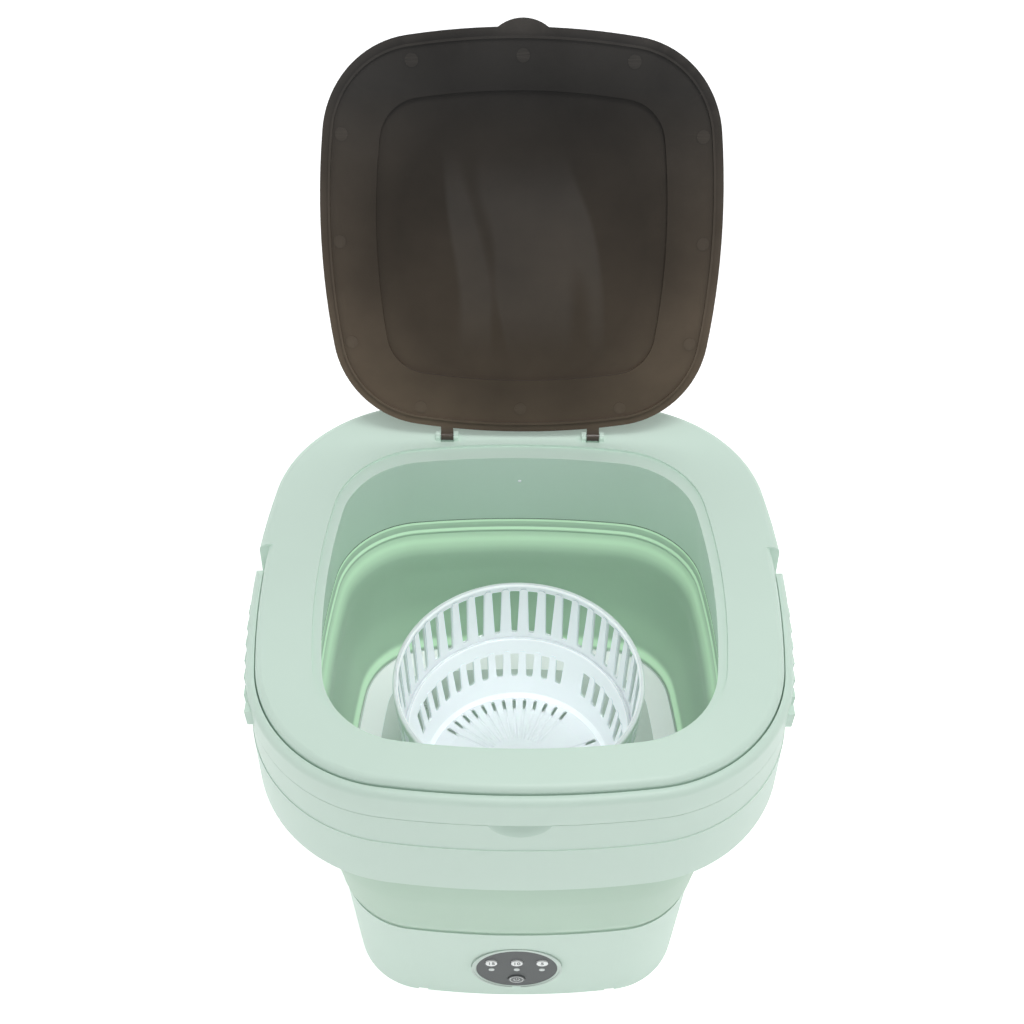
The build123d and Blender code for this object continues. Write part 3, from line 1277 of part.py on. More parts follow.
ring_slot_face = tapered_slot(
    RING_SLOT_BOTTOM_WIDTH,
    ring_slot_low,
    RING_SLOT_TOP_WIDTH,
    ring_slot_high,
    RING_SLOT_ROUND,
    SLOT_HEAD_ROUND,
)
with BuildPart() as ring_slot:
    extrude(ring_slot_face.moved(Location((BOWL_RIM_RADIUS - CUT, 0, 0))), amount=2 * CUT)

with BuildPart() as basket_ring:
    with BuildSketch(Plane.XZ):
        with BuildLine():
            Polyline(*ring_profile, close=True)
        make_face()
        with Locations((bead_radius, bead_level)):
            Circle(RING_BEAD)
    revolve(axis=Axis.Z)
    with Locations(*polar_places(rib_angles, 0)):
        add(ring_rib)
    with Locations(*polar_places(wall_slot_angles, 0)):
        add(ring_slot.part, mode=Mode.SUBTRACT)
write(basket_ring, "basket_ring")

# Control panel on the front of the base
bezel_back = plate_rear + BEZEL_REAR
button_front = overlay_front - BUTTON_PROUD
flange_front = plate_rear + FLANGE_GAP
button_level = PANEL_LEVEL + BUTTON_RISE
power_level = PANEL_LEVEL - POWER_DROP
lamp_level = PANEL_LEVEL - LAMP_DROP
board_front = bezel_front + BOARD_DEPTH
button_places = ((-BUTTON_SPACING, "15"), (0.0, "10"), (BUTTON_SPACING, "5"))
board_corners = [(x * BOARD_POST, PANEL_LEVEL + z * BOARD_POST) for x in (-1, 1) for z in (-1, 1)]

with BuildPart() as panel_bezel:
    rod(0, PANEL_LEVEL, bezel_front, bezel_back, bezel_radius)
    rod(0, PANEL_LEVEL, bezel_back - BEZEL_FLANGE_THICKNESS, bezel_back, bezel_radius + BEZEL_FLANGE_WIDTH)
    rod(
        0,
        PANEL_LEVEL,
        bezel_front,
        bezel_front + BEZEL_STEP_DEPTH,
        PANEL_RADIUS + BEZEL_STEP_WIDTH,
        mode=Mode.SUBTRACT,
    )
    bore(0, PANEL_LEVEL, bezel_front, plate_front, PANEL_RADIUS)
    bore(0, PANEL_LEVEL, plate_rear, bezel_back, PANEL_RADIUS)
    for x, z in board_corners:
        rod(x, z, plate_rear - PANEL_PLATE / 2, board_front, BOARD_POST_RADIUS)
        bore(x, z, plate_rear, board_front, BOARD_SCREW_RADIUS + RUNNING)
    for x, name in button_places:
        bore(x, button_level, plate_front, plate_rear, BUTTON_RADIUS + LOOSE)
    bore(0, power_level, plate_front, plate_rear, POWER_RADIUS + LOOSE)
    cuboid(
        (-BEZEL_NOTCH_WIDTH / 2, BEZEL_NOTCH_WIDTH / 2),
        (bezel_front - CUT, plate_front),
        (PANEL_LEVEL - bezel_radius - CUT, PANEL_LEVEL - bezel_radius + BEZEL_NOTCH_DEPTH),
        mode=Mode.SUBTRACT,
    )
write(panel_bezel, "panel_bezel")

with BuildPart() as panel_overlay:
    rod(0, PANEL_LEVEL, overlay_front, plate_front, PANEL_RADIUS - SNUG)
    for x, name in button_places:
        bore(x, button_level, overlay_front, plate_front, BUTTON_RADIUS + LOOSE)
        bore(x, lamp_level, overlay_front, plate_front, LAMP_RADIUS + SNUG)
    bore(0, power_level, overlay_front, plate_front, POWER_RADIUS + LOOSE)
write(panel_overlay, "panel_overlay")

with BuildPart() as lamp_windows:
    for x, name in button_places:
        rod(x, lamp_level, overlay_front - LAMP_PROUD, plate_front, LAMP_RADIUS)
write(lamp_windows, "lamp_windows")


def button(x, z, radius):
    """A push button with a flange that stops it behind the panel."""
    rod(x, z, button_front, flange_front + FLANGE_THICKNESS / 2, radius)
    rod(x, z, flange_front, flange_front + FLANGE_THICKNESS, radius + FLANGE_WIDTH)


for x, name in button_places:
    with BuildPart() as time_button:
        button(x, button_level, BUTTON_RADIUS)
    write(time_button, f"time_button_{name}")

with BuildPart() as power_button:
    button(0, power_level, POWER_RADIUS)
write(power_button, "power_button")

# Control board behind the panel with a switch behind each button
switch_front = flange_front + FLANGE_THICKNESS + BUTTON_TRAVEL + SWITCH_GAP
board_middle = board_front + BOARD_THICKNESS / 2
board_rear = board_front + BOARD_THICKNESS
connector_rear = board_rear + CONNECTOR_DEPTH
with BuildPart() as control_board:
    with BuildSketch(facing(board_front)):
        with Locations((0, PANEL_LEVEL)):
            RectangleRounded(2 * BOARD_HALF, 2 * BOARD_HALF, BOARD_ROUND)
        with Locations(*board_corners):
            Circle(BOARD_SCREW_RADIUS + SNUG, mode=Mode.SUBTRACT)
    extrude(amount=-BOARD_THICKNESS)
    for x, name in button_places:
        rod(x, button_level, switch_front, board_middle, SWITCH_RADIUS)
        rod(x, lamp_level, board_front - LED_LENGTH, board_middle, LED_RADIUS)
    rod(0, power_level, switch_front, board_middle, SWITCH_RADIUS)
    cuboid(
        (-CONNECTOR_HALF, CONNECTOR_HALF),
        (board_middle, connector_rear),
        (PANEL_LEVEL - CONNECTOR_DROP, PANEL_LEVEL + CONNECTOR_RISE),
    )
write(control_board, "control_board")

with BuildPart() as board_screws:
    for x, z in board_corners:
        rod(x, z, board_rear, board_rear + BOARD_HEAD_HEIGHT, BOARD_HEAD_RADIUS)
        rod(x, z, plate_rear + LOOSE, board_rear, BOARD_SCREW_RADIUS)
write(board_screws, "board_screws")

# Power inlet on the rear wall
wall_at_flange = base.rear_y(SOCKET_X - SOCKET_FLANGE_RADIUS)
socket_front = wall_at_flange + base_grow(SOCKET_LEVEL + SOCKET_FLANGE_RADIUS) + SNUG
socket_face = socket_front + SOCKET_FLANGE_THICKNESS
socket_rear = socket_front - SOCKET_DEPTH
socket_floor = socket_rear + SOCKET_FLOOR
with BuildPart() as dc_socket:
    rod(SOCKET_X, SOCKET_LEVEL, socket_front, socket_face, SOCKET_FLANGE_RADIUS)
    rod(SOCKET_X, SOCKET_LEVEL, socket_rear, socket_front, SOCKET_RADIUS)
    bore(SOCKET_X, SOCKET_LEVEL, socket_floor, socket_face, SOCKET_BORE_RADIUS)
    rod(SOCKET_X, SOCKET_LEVEL, socket_floor, socket_front, SOCKET_PIN_RADIUS)
write(dc_socket, "dc_socket")

# Wires from the board to the motor and to the power inlet
wire_routes = (
    (
        (10, connector_rear, PANEL_LEVEL - 6),
        (14, connector_rear + 22, 22),
        (26, -62, 10),
        (MOTOR_X - 6, -18, 9.5),
        (MOTOR_X - 8, -8, end_cap_bottom),
    ),
    (
        (-10, connector_rear, PANEL_LEVEL - 6),
        (-4, connector_rear + 16, 18),
        (56, -84, 10),
        (98, 0, 10),
        (SOCKET_X + 6, 90, 22),
        (SOCKET_X, socket_rear, SOCKET_LEVEL),
    ),
)
wire_ends = (((0, 1, 0), (0, 0, 1)), ((0, 1, 0), (0, 1, 0)))
with BuildPart() as wiring:
    for route, ends in zip(wire_routes, wire_ends):
        with BuildLine() as path:
            Spline(*route, tangents=ends)
        with BuildSketch(Plane(origin=route[0], z_dir=ends[0])):
            Circle(WIRE_RADIUS)
        sweep(path=path.line)
write(wiring, "wiring")
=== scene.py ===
import json
import math

import bpy
from mathutils import Matrix, Vector


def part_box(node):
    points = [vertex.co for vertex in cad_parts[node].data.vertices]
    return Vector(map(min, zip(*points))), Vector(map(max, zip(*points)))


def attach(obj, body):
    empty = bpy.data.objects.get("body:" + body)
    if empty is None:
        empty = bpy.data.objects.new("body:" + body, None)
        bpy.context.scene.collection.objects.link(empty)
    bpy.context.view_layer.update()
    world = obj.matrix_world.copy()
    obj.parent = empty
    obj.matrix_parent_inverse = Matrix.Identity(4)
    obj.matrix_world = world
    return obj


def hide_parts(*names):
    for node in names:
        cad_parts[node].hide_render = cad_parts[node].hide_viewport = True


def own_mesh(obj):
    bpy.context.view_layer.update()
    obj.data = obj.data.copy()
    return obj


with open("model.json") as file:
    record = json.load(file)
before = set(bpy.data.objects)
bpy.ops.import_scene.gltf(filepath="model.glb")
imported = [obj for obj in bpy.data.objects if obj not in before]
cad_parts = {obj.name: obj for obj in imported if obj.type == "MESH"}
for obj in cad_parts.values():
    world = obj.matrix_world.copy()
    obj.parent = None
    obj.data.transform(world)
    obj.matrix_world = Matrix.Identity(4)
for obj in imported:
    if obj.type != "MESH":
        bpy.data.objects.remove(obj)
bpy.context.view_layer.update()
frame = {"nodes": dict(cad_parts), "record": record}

# Outline of the base at its top edge, in metres: four wide arcs joined by round corners
BASE_HALF = 0.1412
BASE_SIDE_RADIUS = 0.690
BASE_CORNER_RADIUS = 0.060
RING_POINTS = 160

# Bellows section as (growth of the base's outline, level) in millimetres: up the outside, round the sleeve
# that the clamp ring holds, and down the inside
OUTER = [(2.0, 122.0), (2.1, 125.0), (4.8, 133.0), (5.9, 145.0), (8.8, 175.0), (10.0, 190.0), (10.3, 215.0),
         (9.0, 262.0), (8.3, 269.0), (11.2, 274.0), (14.5, 277.5)]
SLEEVE = [(14.55, 279.0), (14.55, 290.8), (12.45, 290.8), (12.45, 281.2), (10.05, 281.0)]
INNER = [(9.9, 276.4), (9.6, 274.0), (9.1, 268.5), (7.9, 262.5), (6.2, 256.5), (4.9, 250.0), (4.3, 243.0),
         (4.9, 234.0), (6.7, 220.0), (7.3, 200.0), (6.6, 175.0), (3.7, 145.0), (2.6, 134.0), (-0.1, 126.0),
         (-0.15, 122.0)]
PROFILE_PARTS = 6

# Painted shade under the collar: a thin dark band at the seam, in the same terms
SEAM_SHADE_BAND = [(9.7, 280.4), (9.7, 280.8), (10.3, 280.8), (10.3, 280.4)]

# Gate mark on the collar's rear wall
GATE_LEVEL = 0.335
GATE_RADIUS = 0.0016
GATE_FLATNESS = 0.35

# Printing on the control panel
KEY_STEP = 0.0205
KEY_LEVEL = 0.071
NUMBER_SIZE = 0.0062
NUMBER_DEPTH = 0.0001
NUMBER_LIFT = 0.00008
LINE_WIDTH = 0.00022
LINE_LIFT = 0.00003
RING_RADIUS = 0.0054
STANDBY_RADIUS = 0.0023
STANDBY_GAP = 35
BAR_FOOT, BAR_HEAD = 0.0008, 0.0030

# Painted light on the tub's inner faces, an emission: how far a face turns to the axis and leans up, and
# how softly it fades
FACING_NONE, FACING_FULL = -0.02, -0.4
LEAN_NONE, LEAN_FULL = 0.02, 0.4
FADE_SPAN = 0.3

# Studio, in metres and watts
FLOOR_FRONT, FLOOR_REAR, FLOOR_SIDE, FLOOR_TOP = -3.0, 1.6, 5.0, 4.0
SWEEP_RADIUS = 0.8
SWEEP_ANGLES = (0.3, 0.6, 0.9, 1.2, math.pi / 2)
FLOOR_GLOW = 0.55
SKY_COLOUR = (0.97, 0.985, 1.0, 1)
SKY_STRENGTH = 0.34

# Camera, as fitted to the photograph: its side, focal length and principal point in pixels
PHOTO_SIDE = 1024.0
FOCAL_LENGTH = 1227.3
PRINCIPAL_X, PRINCIPAL_Y = 520.07, 588.69
SENSOR_WIDTH = 36.0
ELEVATION = math.radians(49.2)
DISTANCE = 0.8593
AIM_LEVEL = 0.366
YAW = 0.0112
ROLL = math.radians(0.8)


def srgb(r, g, b):
    """Linear values of a screen colour of 0 to 255."""
    return [((c / 255) / 12.92 if c <= 10 else (((c / 255) + 0.055) / 1.055) ** 2.4) for c in (r, g, b)]


# Shader nodes

def links(tree, *pairs):
    """Join sockets, each pair from source to target."""
    for source, target in pairs:
        tree.links.new(source, target)


def node(tree, kind, inputs=None, **settings):
    """A node with its settings and the values of its sockets."""
    made = tree.nodes.new(kind)
    for key, value in settings.items():
        setattr(made, key, value)
    for key, value in (inputs or {}).items():
        made.inputs[key].default_value = value
    return made


def map_range(tree, start, end, low=0.0, high=1.0, smooth=False):
    """A node that turns start to end into low to high."""
    reach = {"From Min": start, "From Max": end, "To Min": low, "To Max": high}
    return node(tree, "ShaderNodeMapRange", reach, interpolation_type="SMOOTHSTEP" if smooth else "LINEAR")


def number_math(tree, operation, value=None):
    """A node for numbers; the value goes to its second socket."""
    return node(tree, "ShaderNodeMath", {} if value is None else {1: value}, operation=operation)


def vector_math(tree, operation, value=None):
    """A node for vectors; the value goes to its second socket."""
    return node(tree, "ShaderNodeVectorMath", {} if value is None else {1: value}, operation=operation)


def noise(tree, scale, detail, distortion=0.0):
    """A cloud of noise."""
    return node(tree, "ShaderNodeTexNoise", {"Scale": scale, "Detail": detail, "Distortion": distortion})


def new_material(name):
    """A material with its node tree and its shader."""
    made = bpy.data.materials.new(name)
    made.use_nodes = True
    return made, made.node_tree, made.node_tree.nodes["Principled BSDF"]


# Materials

def painted_inner_light(tree, shader, place, geometry, colour, painted_glow, lift, fade):
    """Painted light: an emission on a face that looks at the tub's axis, up to lift times as much if it
    leans up.

    No painted light is left where the upward part of the face's direction reaches fade."""
    flat = vector_math(tree, "MULTIPLY", (1, 1, 0))
    unit = vector_math(tree, "NORMALIZE")
    facing = vector_math(tree, "DOT_PRODUCT")
    inside = map_range(tree, FACING_NONE, FACING_FULL, high=painted_glow)
    rise = node(tree, "ShaderNodeSeparateXYZ")
    lifted = map_range(tree, LEAN_NONE, LEAN_FULL, low=1.0, high=lift, smooth=True)
    steep = map_range(tree, fade, fade - FADE_SPAN, smooth=True)
    leaning = number_math(tree, "MULTIPLY")
    strength = number_math(tree, "MULTIPLY")
    shader.inputs["Emission Color"].default_value = (*colour, 1)
    links(
        tree,
        (place.outputs["Object"], flat.inputs[0]),
        (flat.outputs["Vector"], unit.inputs[0]),
        (unit.outputs["Vector"], facing.inputs[0]),
        (geometry.outputs["Normal"], facing.inputs[1]),
        (facing.outputs["Value"], inside.inputs["Value"]),
        (geometry.outputs["Normal"], rise.inputs["Vector"]),
        (rise.outputs["Z"], lifted.inputs["Value"]),
        (rise.outputs["Z"], steep.inputs["Value"]),
        (lifted.outputs["Result"], leaning.inputs[0]),
        (steep.outputs["Result"], leaning.inputs[1]),
        (inside.outputs["Result"], strength.inputs[0]),
        (leaning.outputs["Value"], strength.inputs[1]),
        (strength.outputs["Value"], shader.inputs["Emission Strength"]),
    )


def plastic(name, colour, rough=0.45, shift=0.04, grain=1400.0, bump=0.03, sheen=0.0, subsurface=0.0,
            metallic=0.0, edge_highlight=0.06, painted_glow=0.0, lift=1.0, fade=0.72, painted_glow_colour=None):
    """A moulded or turned surface: mottled, with a fine pebble, streaks in the gloss and a painted
    highlight on its edges.

    Painted light, an emission of the given colour or else of its own, shines on the faces that look at the
    tub's axis when a strength for it is given."""
    made, tree, shader = new_material(name)
    place = node(tree, "ShaderNodeTexCoord")
    geometry = node(tree, "ShaderNodeNewGeometry")
    cloud = noise(tree, 9.0, 4.0)
    pebble = noise(tree, grain, 3.0)
    mottle = node(tree, "ShaderNodeValToRGB")
    for stop, position, strength in zip(mottle.color_ramp.elements, (0.35, 0.65), (1 - shift, 1 + shift)):
        stop.position = position
        stop.color = (*[min(1.0, c * strength) for c in colour], 1)
    # Painted highlight: sharp edges, found by pointiness, turn paler
    edge = map_range(tree, 0.5, 0.6, high=edge_highlight)
    pale = node(tree, "ShaderNodeMix", data_type="RGBA")
    pale.inputs["B"].default_value = (*[min(1.0, 0.35 + c * 0.75) for c in colour], 1)
    gloss = map_range(tree, 0.0, 1.0, low=max(0.02, rough - 0.05), high=rough + 0.05)
    dent = node(tree, "ShaderNodeBump", {"Strength": bump, "Distance": 0.0002})
    links(
        tree,
        (place.outputs["Object"], cloud.inputs["Vector"]),
        (place.outputs["Object"], pebble.inputs["Vector"]),
        (cloud.outputs["Fac"], mottle.inputs["Fac"]),
        (geometry.outputs["Pointiness"], edge.inputs["Value"]),
        (edge.outputs["Result"], pale.inputs["Factor"]),
        (mottle.outputs["Color"], pale.inputs["A"]),
        (pale.outputs["Result"], shader.inputs["Base Color"]),
        (cloud.outputs["Fac"], gloss.inputs["Value"]),
        (gloss.outputs["Result"], shader.inputs["Roughness"]),
        (pebble.outputs["Fac"], dent.inputs["Height"]),
        (dent.outputs["Normal"], shader.inputs["Normal"]),
    )
    # Painted light: an emission on the faces that look at the tub's axis, stronger where they lean up
    if painted_glow:
        painted_inner_light(tree, shader, place, geometry, painted_glow_colour or colour, painted_glow, lift, fade)
    shader.inputs["Metallic"].default_value = metallic
    shader.inputs["Sheen Weight"].default_value = sheen
    shader.inputs["Subsurface Weight"].default_value = subsurface
    shader.inputs["Subsurface Radius"].default_value = (0.004, 0.006, 0.004)
    return made


def smoke_and_painted_light(tree, place, split):
    """Smoke colour with painted light and shade by place: brown round the rim, darker and greyer up high,
    dark at the foot and darkest in the middle.
    """
    foot, grey = 0.366, 0.60
    rise = map_range(tree, foot, grey)
    tint = node(tree, "ShaderNodeValToRGB")
    tint.color_ramp.elements[0].color = (*srgb(50, 46, 46), 1)
    tint.color_ramp.elements[1].color = (*srgb(50, 48, 46), 1)
    tint.color_ramp.elements.new(0.055).color = (*srgb(106, 92, 77), 1)
    centre = vector_math(tree, "SUBTRACT", (0.0, 0.21, 0.5))
    spread = vector_math(tree, "MULTIPLY", (1.0, 0.5, 0.9))
    reach = vector_math(tree, "LENGTH")
    # Painted shade: the middle of the lid darkened to half
    middle = map_range(tree, 0.09, 0.15, low=0.5)
    dark = vector_math(tree, "SCALE")
    links(
        tree,
        (split.outputs["Z"], rise.inputs["Value"]),
        (rise.outputs["Result"], tint.inputs["Fac"]),
        (place.outputs["Object"], centre.inputs[0]),
        (centre.outputs["Vector"], spread.inputs[0]),
        (spread.outputs["Vector"], reach.inputs[0]),
        (reach.outputs["Value"], middle.inputs["Value"]),
        (tint.outputs["Color"], dark.inputs[0]),
        (middle.outputs["Result"], dark.inputs["Scale"]),
    )
    return dark.outputs["Vector"]


def smoke_painted_reflection(tree, place, split):
    """A painted reflection: a pale cast with a wavy edge in the middle of the lid."""
    stretch = vector_math(tree, "MULTIPLY", (1.6, 1.0, 0.55))
    wisp = noise(tree, 6.0, 1.0, distortion=1.4)
    aside = number_math(tree, "ABSOLUTE")
    wavy = number_math(tree, "MULTIPLY_ADD", 0.12)
    near = map_range(tree, 0.104, 0.092, high=0.015, smooth=True)
    level = number_math(tree, "SUBTRACT", 0.495)
    height = number_math(tree, "ABSOLUTE")
    tall = map_range(tree, 0.075, 0.03, smooth=True)
    reflection_mask = number_math(tree, "MULTIPLY")
    links(
        tree,
        (place.outputs["Object"], stretch.inputs[0]),
        (stretch.outputs["Vector"], wisp.inputs["Vector"]),
        (split.outputs["X"], aside.inputs[0]),
        (wisp.outputs["Fac"], wavy.inputs[0]),
        (aside.outputs["Value"], wavy.inputs[2]),
        (wavy.outputs["Value"], near.inputs["Value"]),
        (split.outputs["Z"], level.inputs[0]),
        (level.outputs["Value"], height.inputs[0]),
        (height.outputs["Value"], tall.inputs["Value"]),
        (near.outputs["Result"], reflection_mask.inputs[0]),
        (tall.outputs["Result"], reflection_mask.inputs[1]),
    )
    return reflection_mask.outputs["Value"]


def smoked(name):
    """Smoke-brown plastic, cloudy, with painted light and shade by place, a painted reflection as a pale
    cast and a painted highlight on its edges.
    """
    made, tree, shader = new_material(name)
    place = node(tree, "ShaderNodeTexCoord")
    geometry = node(tree, "ShaderNodeNewGeometry")
    split = node(tree, "ShaderNodeSeparateXYZ")
    cloud = noise(tree, 14.0, 5.0)
    haze = map_range(tree, 0.35, 0.75, low=0.85, high=1.25)
    cloudy = vector_math(tree, "SCALE")
    # Painted reflection added to the lid's colour
    with_reflection = vector_math(tree, "ADD")
    # Painted highlight: the lid's sharp edges, found by pointiness, turn paler
    edge = map_range(tree, 0.51, 0.58, high=0.1)
    pale = node(tree, "ShaderNodeMix", data_type="RGBA")
    pale.inputs["B"].default_value = (*srgb(128, 120, 112), 1)
    gloss = map_range(tree, 0.0, 1.0, low=0.1, high=0.22)
    links(
        tree,
        (place.outputs["Object"], cloud.inputs["Vector"]),
        (place.outputs["Object"], split.inputs["Vector"]),
        (cloud.outputs["Fac"], haze.inputs["Value"]),
        (smoke_and_painted_light(tree, place, split), cloudy.inputs[0]),
        (haze.outputs["Result"], cloudy.inputs["Scale"]),
        (cloudy.outputs["Vector"], with_reflection.inputs[0]),
        (smoke_painted_reflection(tree, place, split), with_reflection.inputs[1]),
        (geometry.outputs["Pointiness"], edge.inputs["Value"]),
        (edge.outputs["Result"], pale.inputs["Factor"]),
        (with_reflection.outputs["Vector"], pale.inputs["A"]),
        (pale.outputs["Result"], shader.inputs["Base Color"]),
        (cloud.outputs["Fac"], gloss.inputs["Value"]),
        (gloss.outputs["Result"], shader.inputs["Roughness"]),
    )
    shader.inputs["IOR"].default_value = 1.38
    return made


def studio_floor(name):
    """A matt white floor that glows a little."""
    made, tree, shader = new_material(name)
    cloud = node(tree, "ShaderNodeTexNoise", {"Scale": 3.0})
    tone = node(tree, "ShaderNodeValToRGB")
    for stop, grey in zip(tone.color_ramp.elements, (0.90, 0.93)):
        stop.color = (grey, grey, grey, 1)
    links(
        tree,
        (cloud.outputs["Fac"], tone.inputs["Fac"]),
        (tone.outputs["Color"], shader.inputs["Base Color"]),
    )
    shader.inputs["Roughness"].default_value = 0.9
    shader.inputs["Specular IOR Level"].default_value = 0.1
    shader.inputs["Emission Color"].default_value = (1, 1, 1, 1)
    shader.inputs["Emission Strength"].default_value = FLOOR_GLOW
    return made


# The shell, the bellows, the basket and the tray carry painted light, an emission on their faces that look
# at the tub's axis
FINISHES = {
    "mint_shell": plastic("mint_shell", srgb(203, 225, 212), rough=0.42, shift=0.012, grain=1800.0,
                          bump=0.05,
                          painted_glow=0.095, lift=2.0),
    "mint_elastomer": plastic("mint_elastomer", srgb(180, 208, 188), rough=0.5, shift=0.02, grain=2600.0,
                              bump=0.06, sheen=0.15, subsurface=0.05, painted_glow=0.08, lift=7.6,
                              painted_glow_colour=srgb(171, 209, 170)),
    "smoked_lid": smoked("smoked_lid"),
    "basket_white": plastic("basket_white", srgb(234, 239, 242), rough=0.3, shift=0.01, grain=900.0,
                            bump=0.02,
                            subsurface=0.05, painted_glow=0.21, lift=1.7, fade=0.95),
    "tray_grey": plastic("tray_grey", srgb(226, 230, 231), rough=0.4, shift=0.015, grain=1500.0, bump=0.04,
                         painted_glow=0.12, lift=2.6, fade=1.4),
    "panel_dark": plastic("panel_dark", srgb(71, 75, 76), rough=0.5, shift=0.08, grain=5000.0, bump=0.02),
    "bezel_silver": plastic("bezel_silver", srgb(190, 204, 196), rough=0.3, shift=0.03, grain=3000.0,
                            bump=0.02,
                            metallic=0.35),
    "button_white": plastic("button_white", srgb(245, 247, 246), rough=0.35, shift=0.01, grain=2500.0,
                            bump=0.02),
    "power_grey": plastic("power_dark", srgb(98, 102, 102), rough=0.3, shift=0.05, grain=4000.0, bump=0.02),
    "lamp_clear": plastic("lamp_clear", srgb(214, 220, 218), rough=0.25, shift=0.02, grain=3000.0,
                          bump=0.01),
    "inner_plastic": plastic("inner_plastic", srgb(206, 208, 204), rough=0.5, grain=1500.0, bump=0.05),
    "gear_nylon": plastic("gear_nylon", srgb(232, 228, 212), rough=0.4, grain=1200.0,
                          bump=0.04, subsurface=0.1),
    "steel": plastic("turned_steel", srgb(190, 192, 196), rough=0.28, shift=0.05, grain=700.0, bump=0.05,
                     metallic=1.0),
    "screw_steel": plastic("zinc_screw", srgb(196, 198, 196), rough=0.35, shift=0.06, grain=900.0,
                           bump=0.06,
                           metallic=1.0),
    "bracket_steel": plastic("zinc_sheet", srgb(170, 174, 176), rough=0.38, shift=0.08, grain=300.0,
                             bump=0.05,
                             metallic=0.9),
    "motor_steel": plastic("motor_steel", srgb(120, 124, 128), rough=0.35, shift=0.05, grain=500.0,
                           bump=0.04,
                           metallic=0.8),
    "board_green": plastic("board_green", srgb(30, 96, 58), rough=0.35, shift=0.08, grain=3500.0,
                           bump=0.02),
    "wire_black": plastic("wire_black", srgb(30, 30, 32), rough=0.5, grain=3500.0, bump=0.05),
    "seal_black": plastic("rubber_black", srgb(38, 38, 40), rough=0.65, grain=2500.0, bump=0.08),
    "pipe_grey": plastic("pipe_grey", srgb(190, 196, 192), rough=0.45, grain=1500.0, bump=0.04),
    "socket_black": plastic("socket_black", srgb(28, 28, 30), rough=0.4, grain=2500.0, bump=0.04),
}
# Darker green for the painted shade at the seam under the collar
seam_shade_green = plastic("seam_shade_green", srgb(84, 118, 98), rough=0.6, grain=2000.0)

slot_of = {part["node"]: part["material_slot"] for part in frame["record"]["subparts"]}
for name, solid in frame["nodes"].items():
    solid.data.materials.clear()
    solid.data.materials.append(FINISHES[slot_of[name]])


# Meshes

def place_object(name, data, material):
    """An object in the scene with one material."""
    made = bpy.data.objects.new(name, data)
    bpy.context.scene.collection.objects.link(made)
    made.data.materials.append(material)
    return made


def base_ring(grow, level):
    """A ring of the base's outline, grown by a distance, at a level."""
    half, side, corner = BASE_HALF + grow, BASE_SIDE_RADIUS + grow, BASE_CORNER_RADIUS + grow
    across = side - half
    reach = side - corner
    inset = math.sqrt(reach**2 - across**2 / 2) / math.sqrt(2) - across / 2
    bearing = math.atan2(inset, inset + across)
    side_end = math.atan2(side * math.sin(bearing), side * math.cos(bearing) - across)
    away = math.hypot(inset, inset)
    ring = []
    for step in range(RING_POINTS):
        angle = 2 * math.pi * step / RING_POINTS
        fold = abs((angle + math.pi / 4) % (math.pi / 2) - math.pi / 4)
        if fold < side_end:
            radius = math.sqrt(side**2 - (across * math.sin(fold)) ** 2) - across * math.cos(fold)
        else:
            bear = math.pi / 4 - fold
            radius = away * math.cos(bear) + math.sqrt(corner**2 - (away * math.sin(bear)) ** 2)
        ring.append((radius * math.cos(angle), radius * math.sin(angle), level))
    return ring


def ring_band(name, section, material):
    """A closed band round the base's outline, with a section of (growth, level) points in millimetres."""
    rings = [base_ring(growth / 1000, level / 1000) for growth, level in section]
    faces = []
    for i in range(len(rings)):
        a, b = i * RING_POINTS, ((i + 1) % len(rings)) * RING_POINTS
        for j in range(RING_POINTS):
            k = (j + 1) % RING_POINTS
            faces.append((a + j, a + k, b + k, b + j))
    mesh = bpy.data.meshes.new(name)
    mesh.from_pydata([point for ring in rings for point in ring], [], faces)
    mesh.validate()
    mesh.shade_smooth()
    return place_object(name, mesh, material)


def smooth_profile(points):
    """A smooth curve that meets all the points."""
    curve = []
    padded = [points[0], *points, points[-1]]
    for before, start, end, after in zip(padded, padded[1:], padded[2:], padded[3:]):
        for step in range(PROFILE_PARTS):
            t = step / PROFILE_PARTS
            curve.append(tuple(
                0.5 * (2 * b + (c - a) * t
                       + (2 * a - 5 * b + 4 * c - d) * t**2 + (3 * b - a - 3 * c + d) * t**3)
                for a, b, c, d in zip(before, start, end, after)
            ))
    curve.append(points[-1])
    return curve


# Bellows, as one soft skin with its fold line, shoulder and sleeve
bellows = ring_band("bellows_skin", smooth_profile(OUTER) + SLEEVE + smooth_profile(INNER),
                    FINISHES["mint_elastomer"])
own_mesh(bellows)
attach(bellows, "upper")
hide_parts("bellows")

# Painted shade: a thin dark band at the seam between the collar and the bellows
seam_shade = ring_band("seam_shade", SEAM_SHADE_BAND, seam_shade_green)
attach(seam_shade, "upper")

# Gate mark, where a ray from the tub's axis meets the collar
collar = bpy.data.objects["top_frame"]
_, gate_spot, gate_normal, _ = collar.ray_cast((0, 0, GATE_LEVEL), (0, 1, 0))
bpy.ops.mesh.primitive_uv_sphere_add(segments=16, ring_count=8, radius=GATE_RADIUS, location=gate_spot)
gate_mark = bpy.context.object
gate_mark.name = "gate_mark"
gate_mark.scale = (1, 1, GATE_FLATNESS)
gate_mark.rotation_euler = gate_normal.to_track_quat("Z", "Y").to_euler()
gate_mark.data.materials.append(FINISHES["basket_white"])
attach(gate_mark, "upper")


# Printing on the buttons

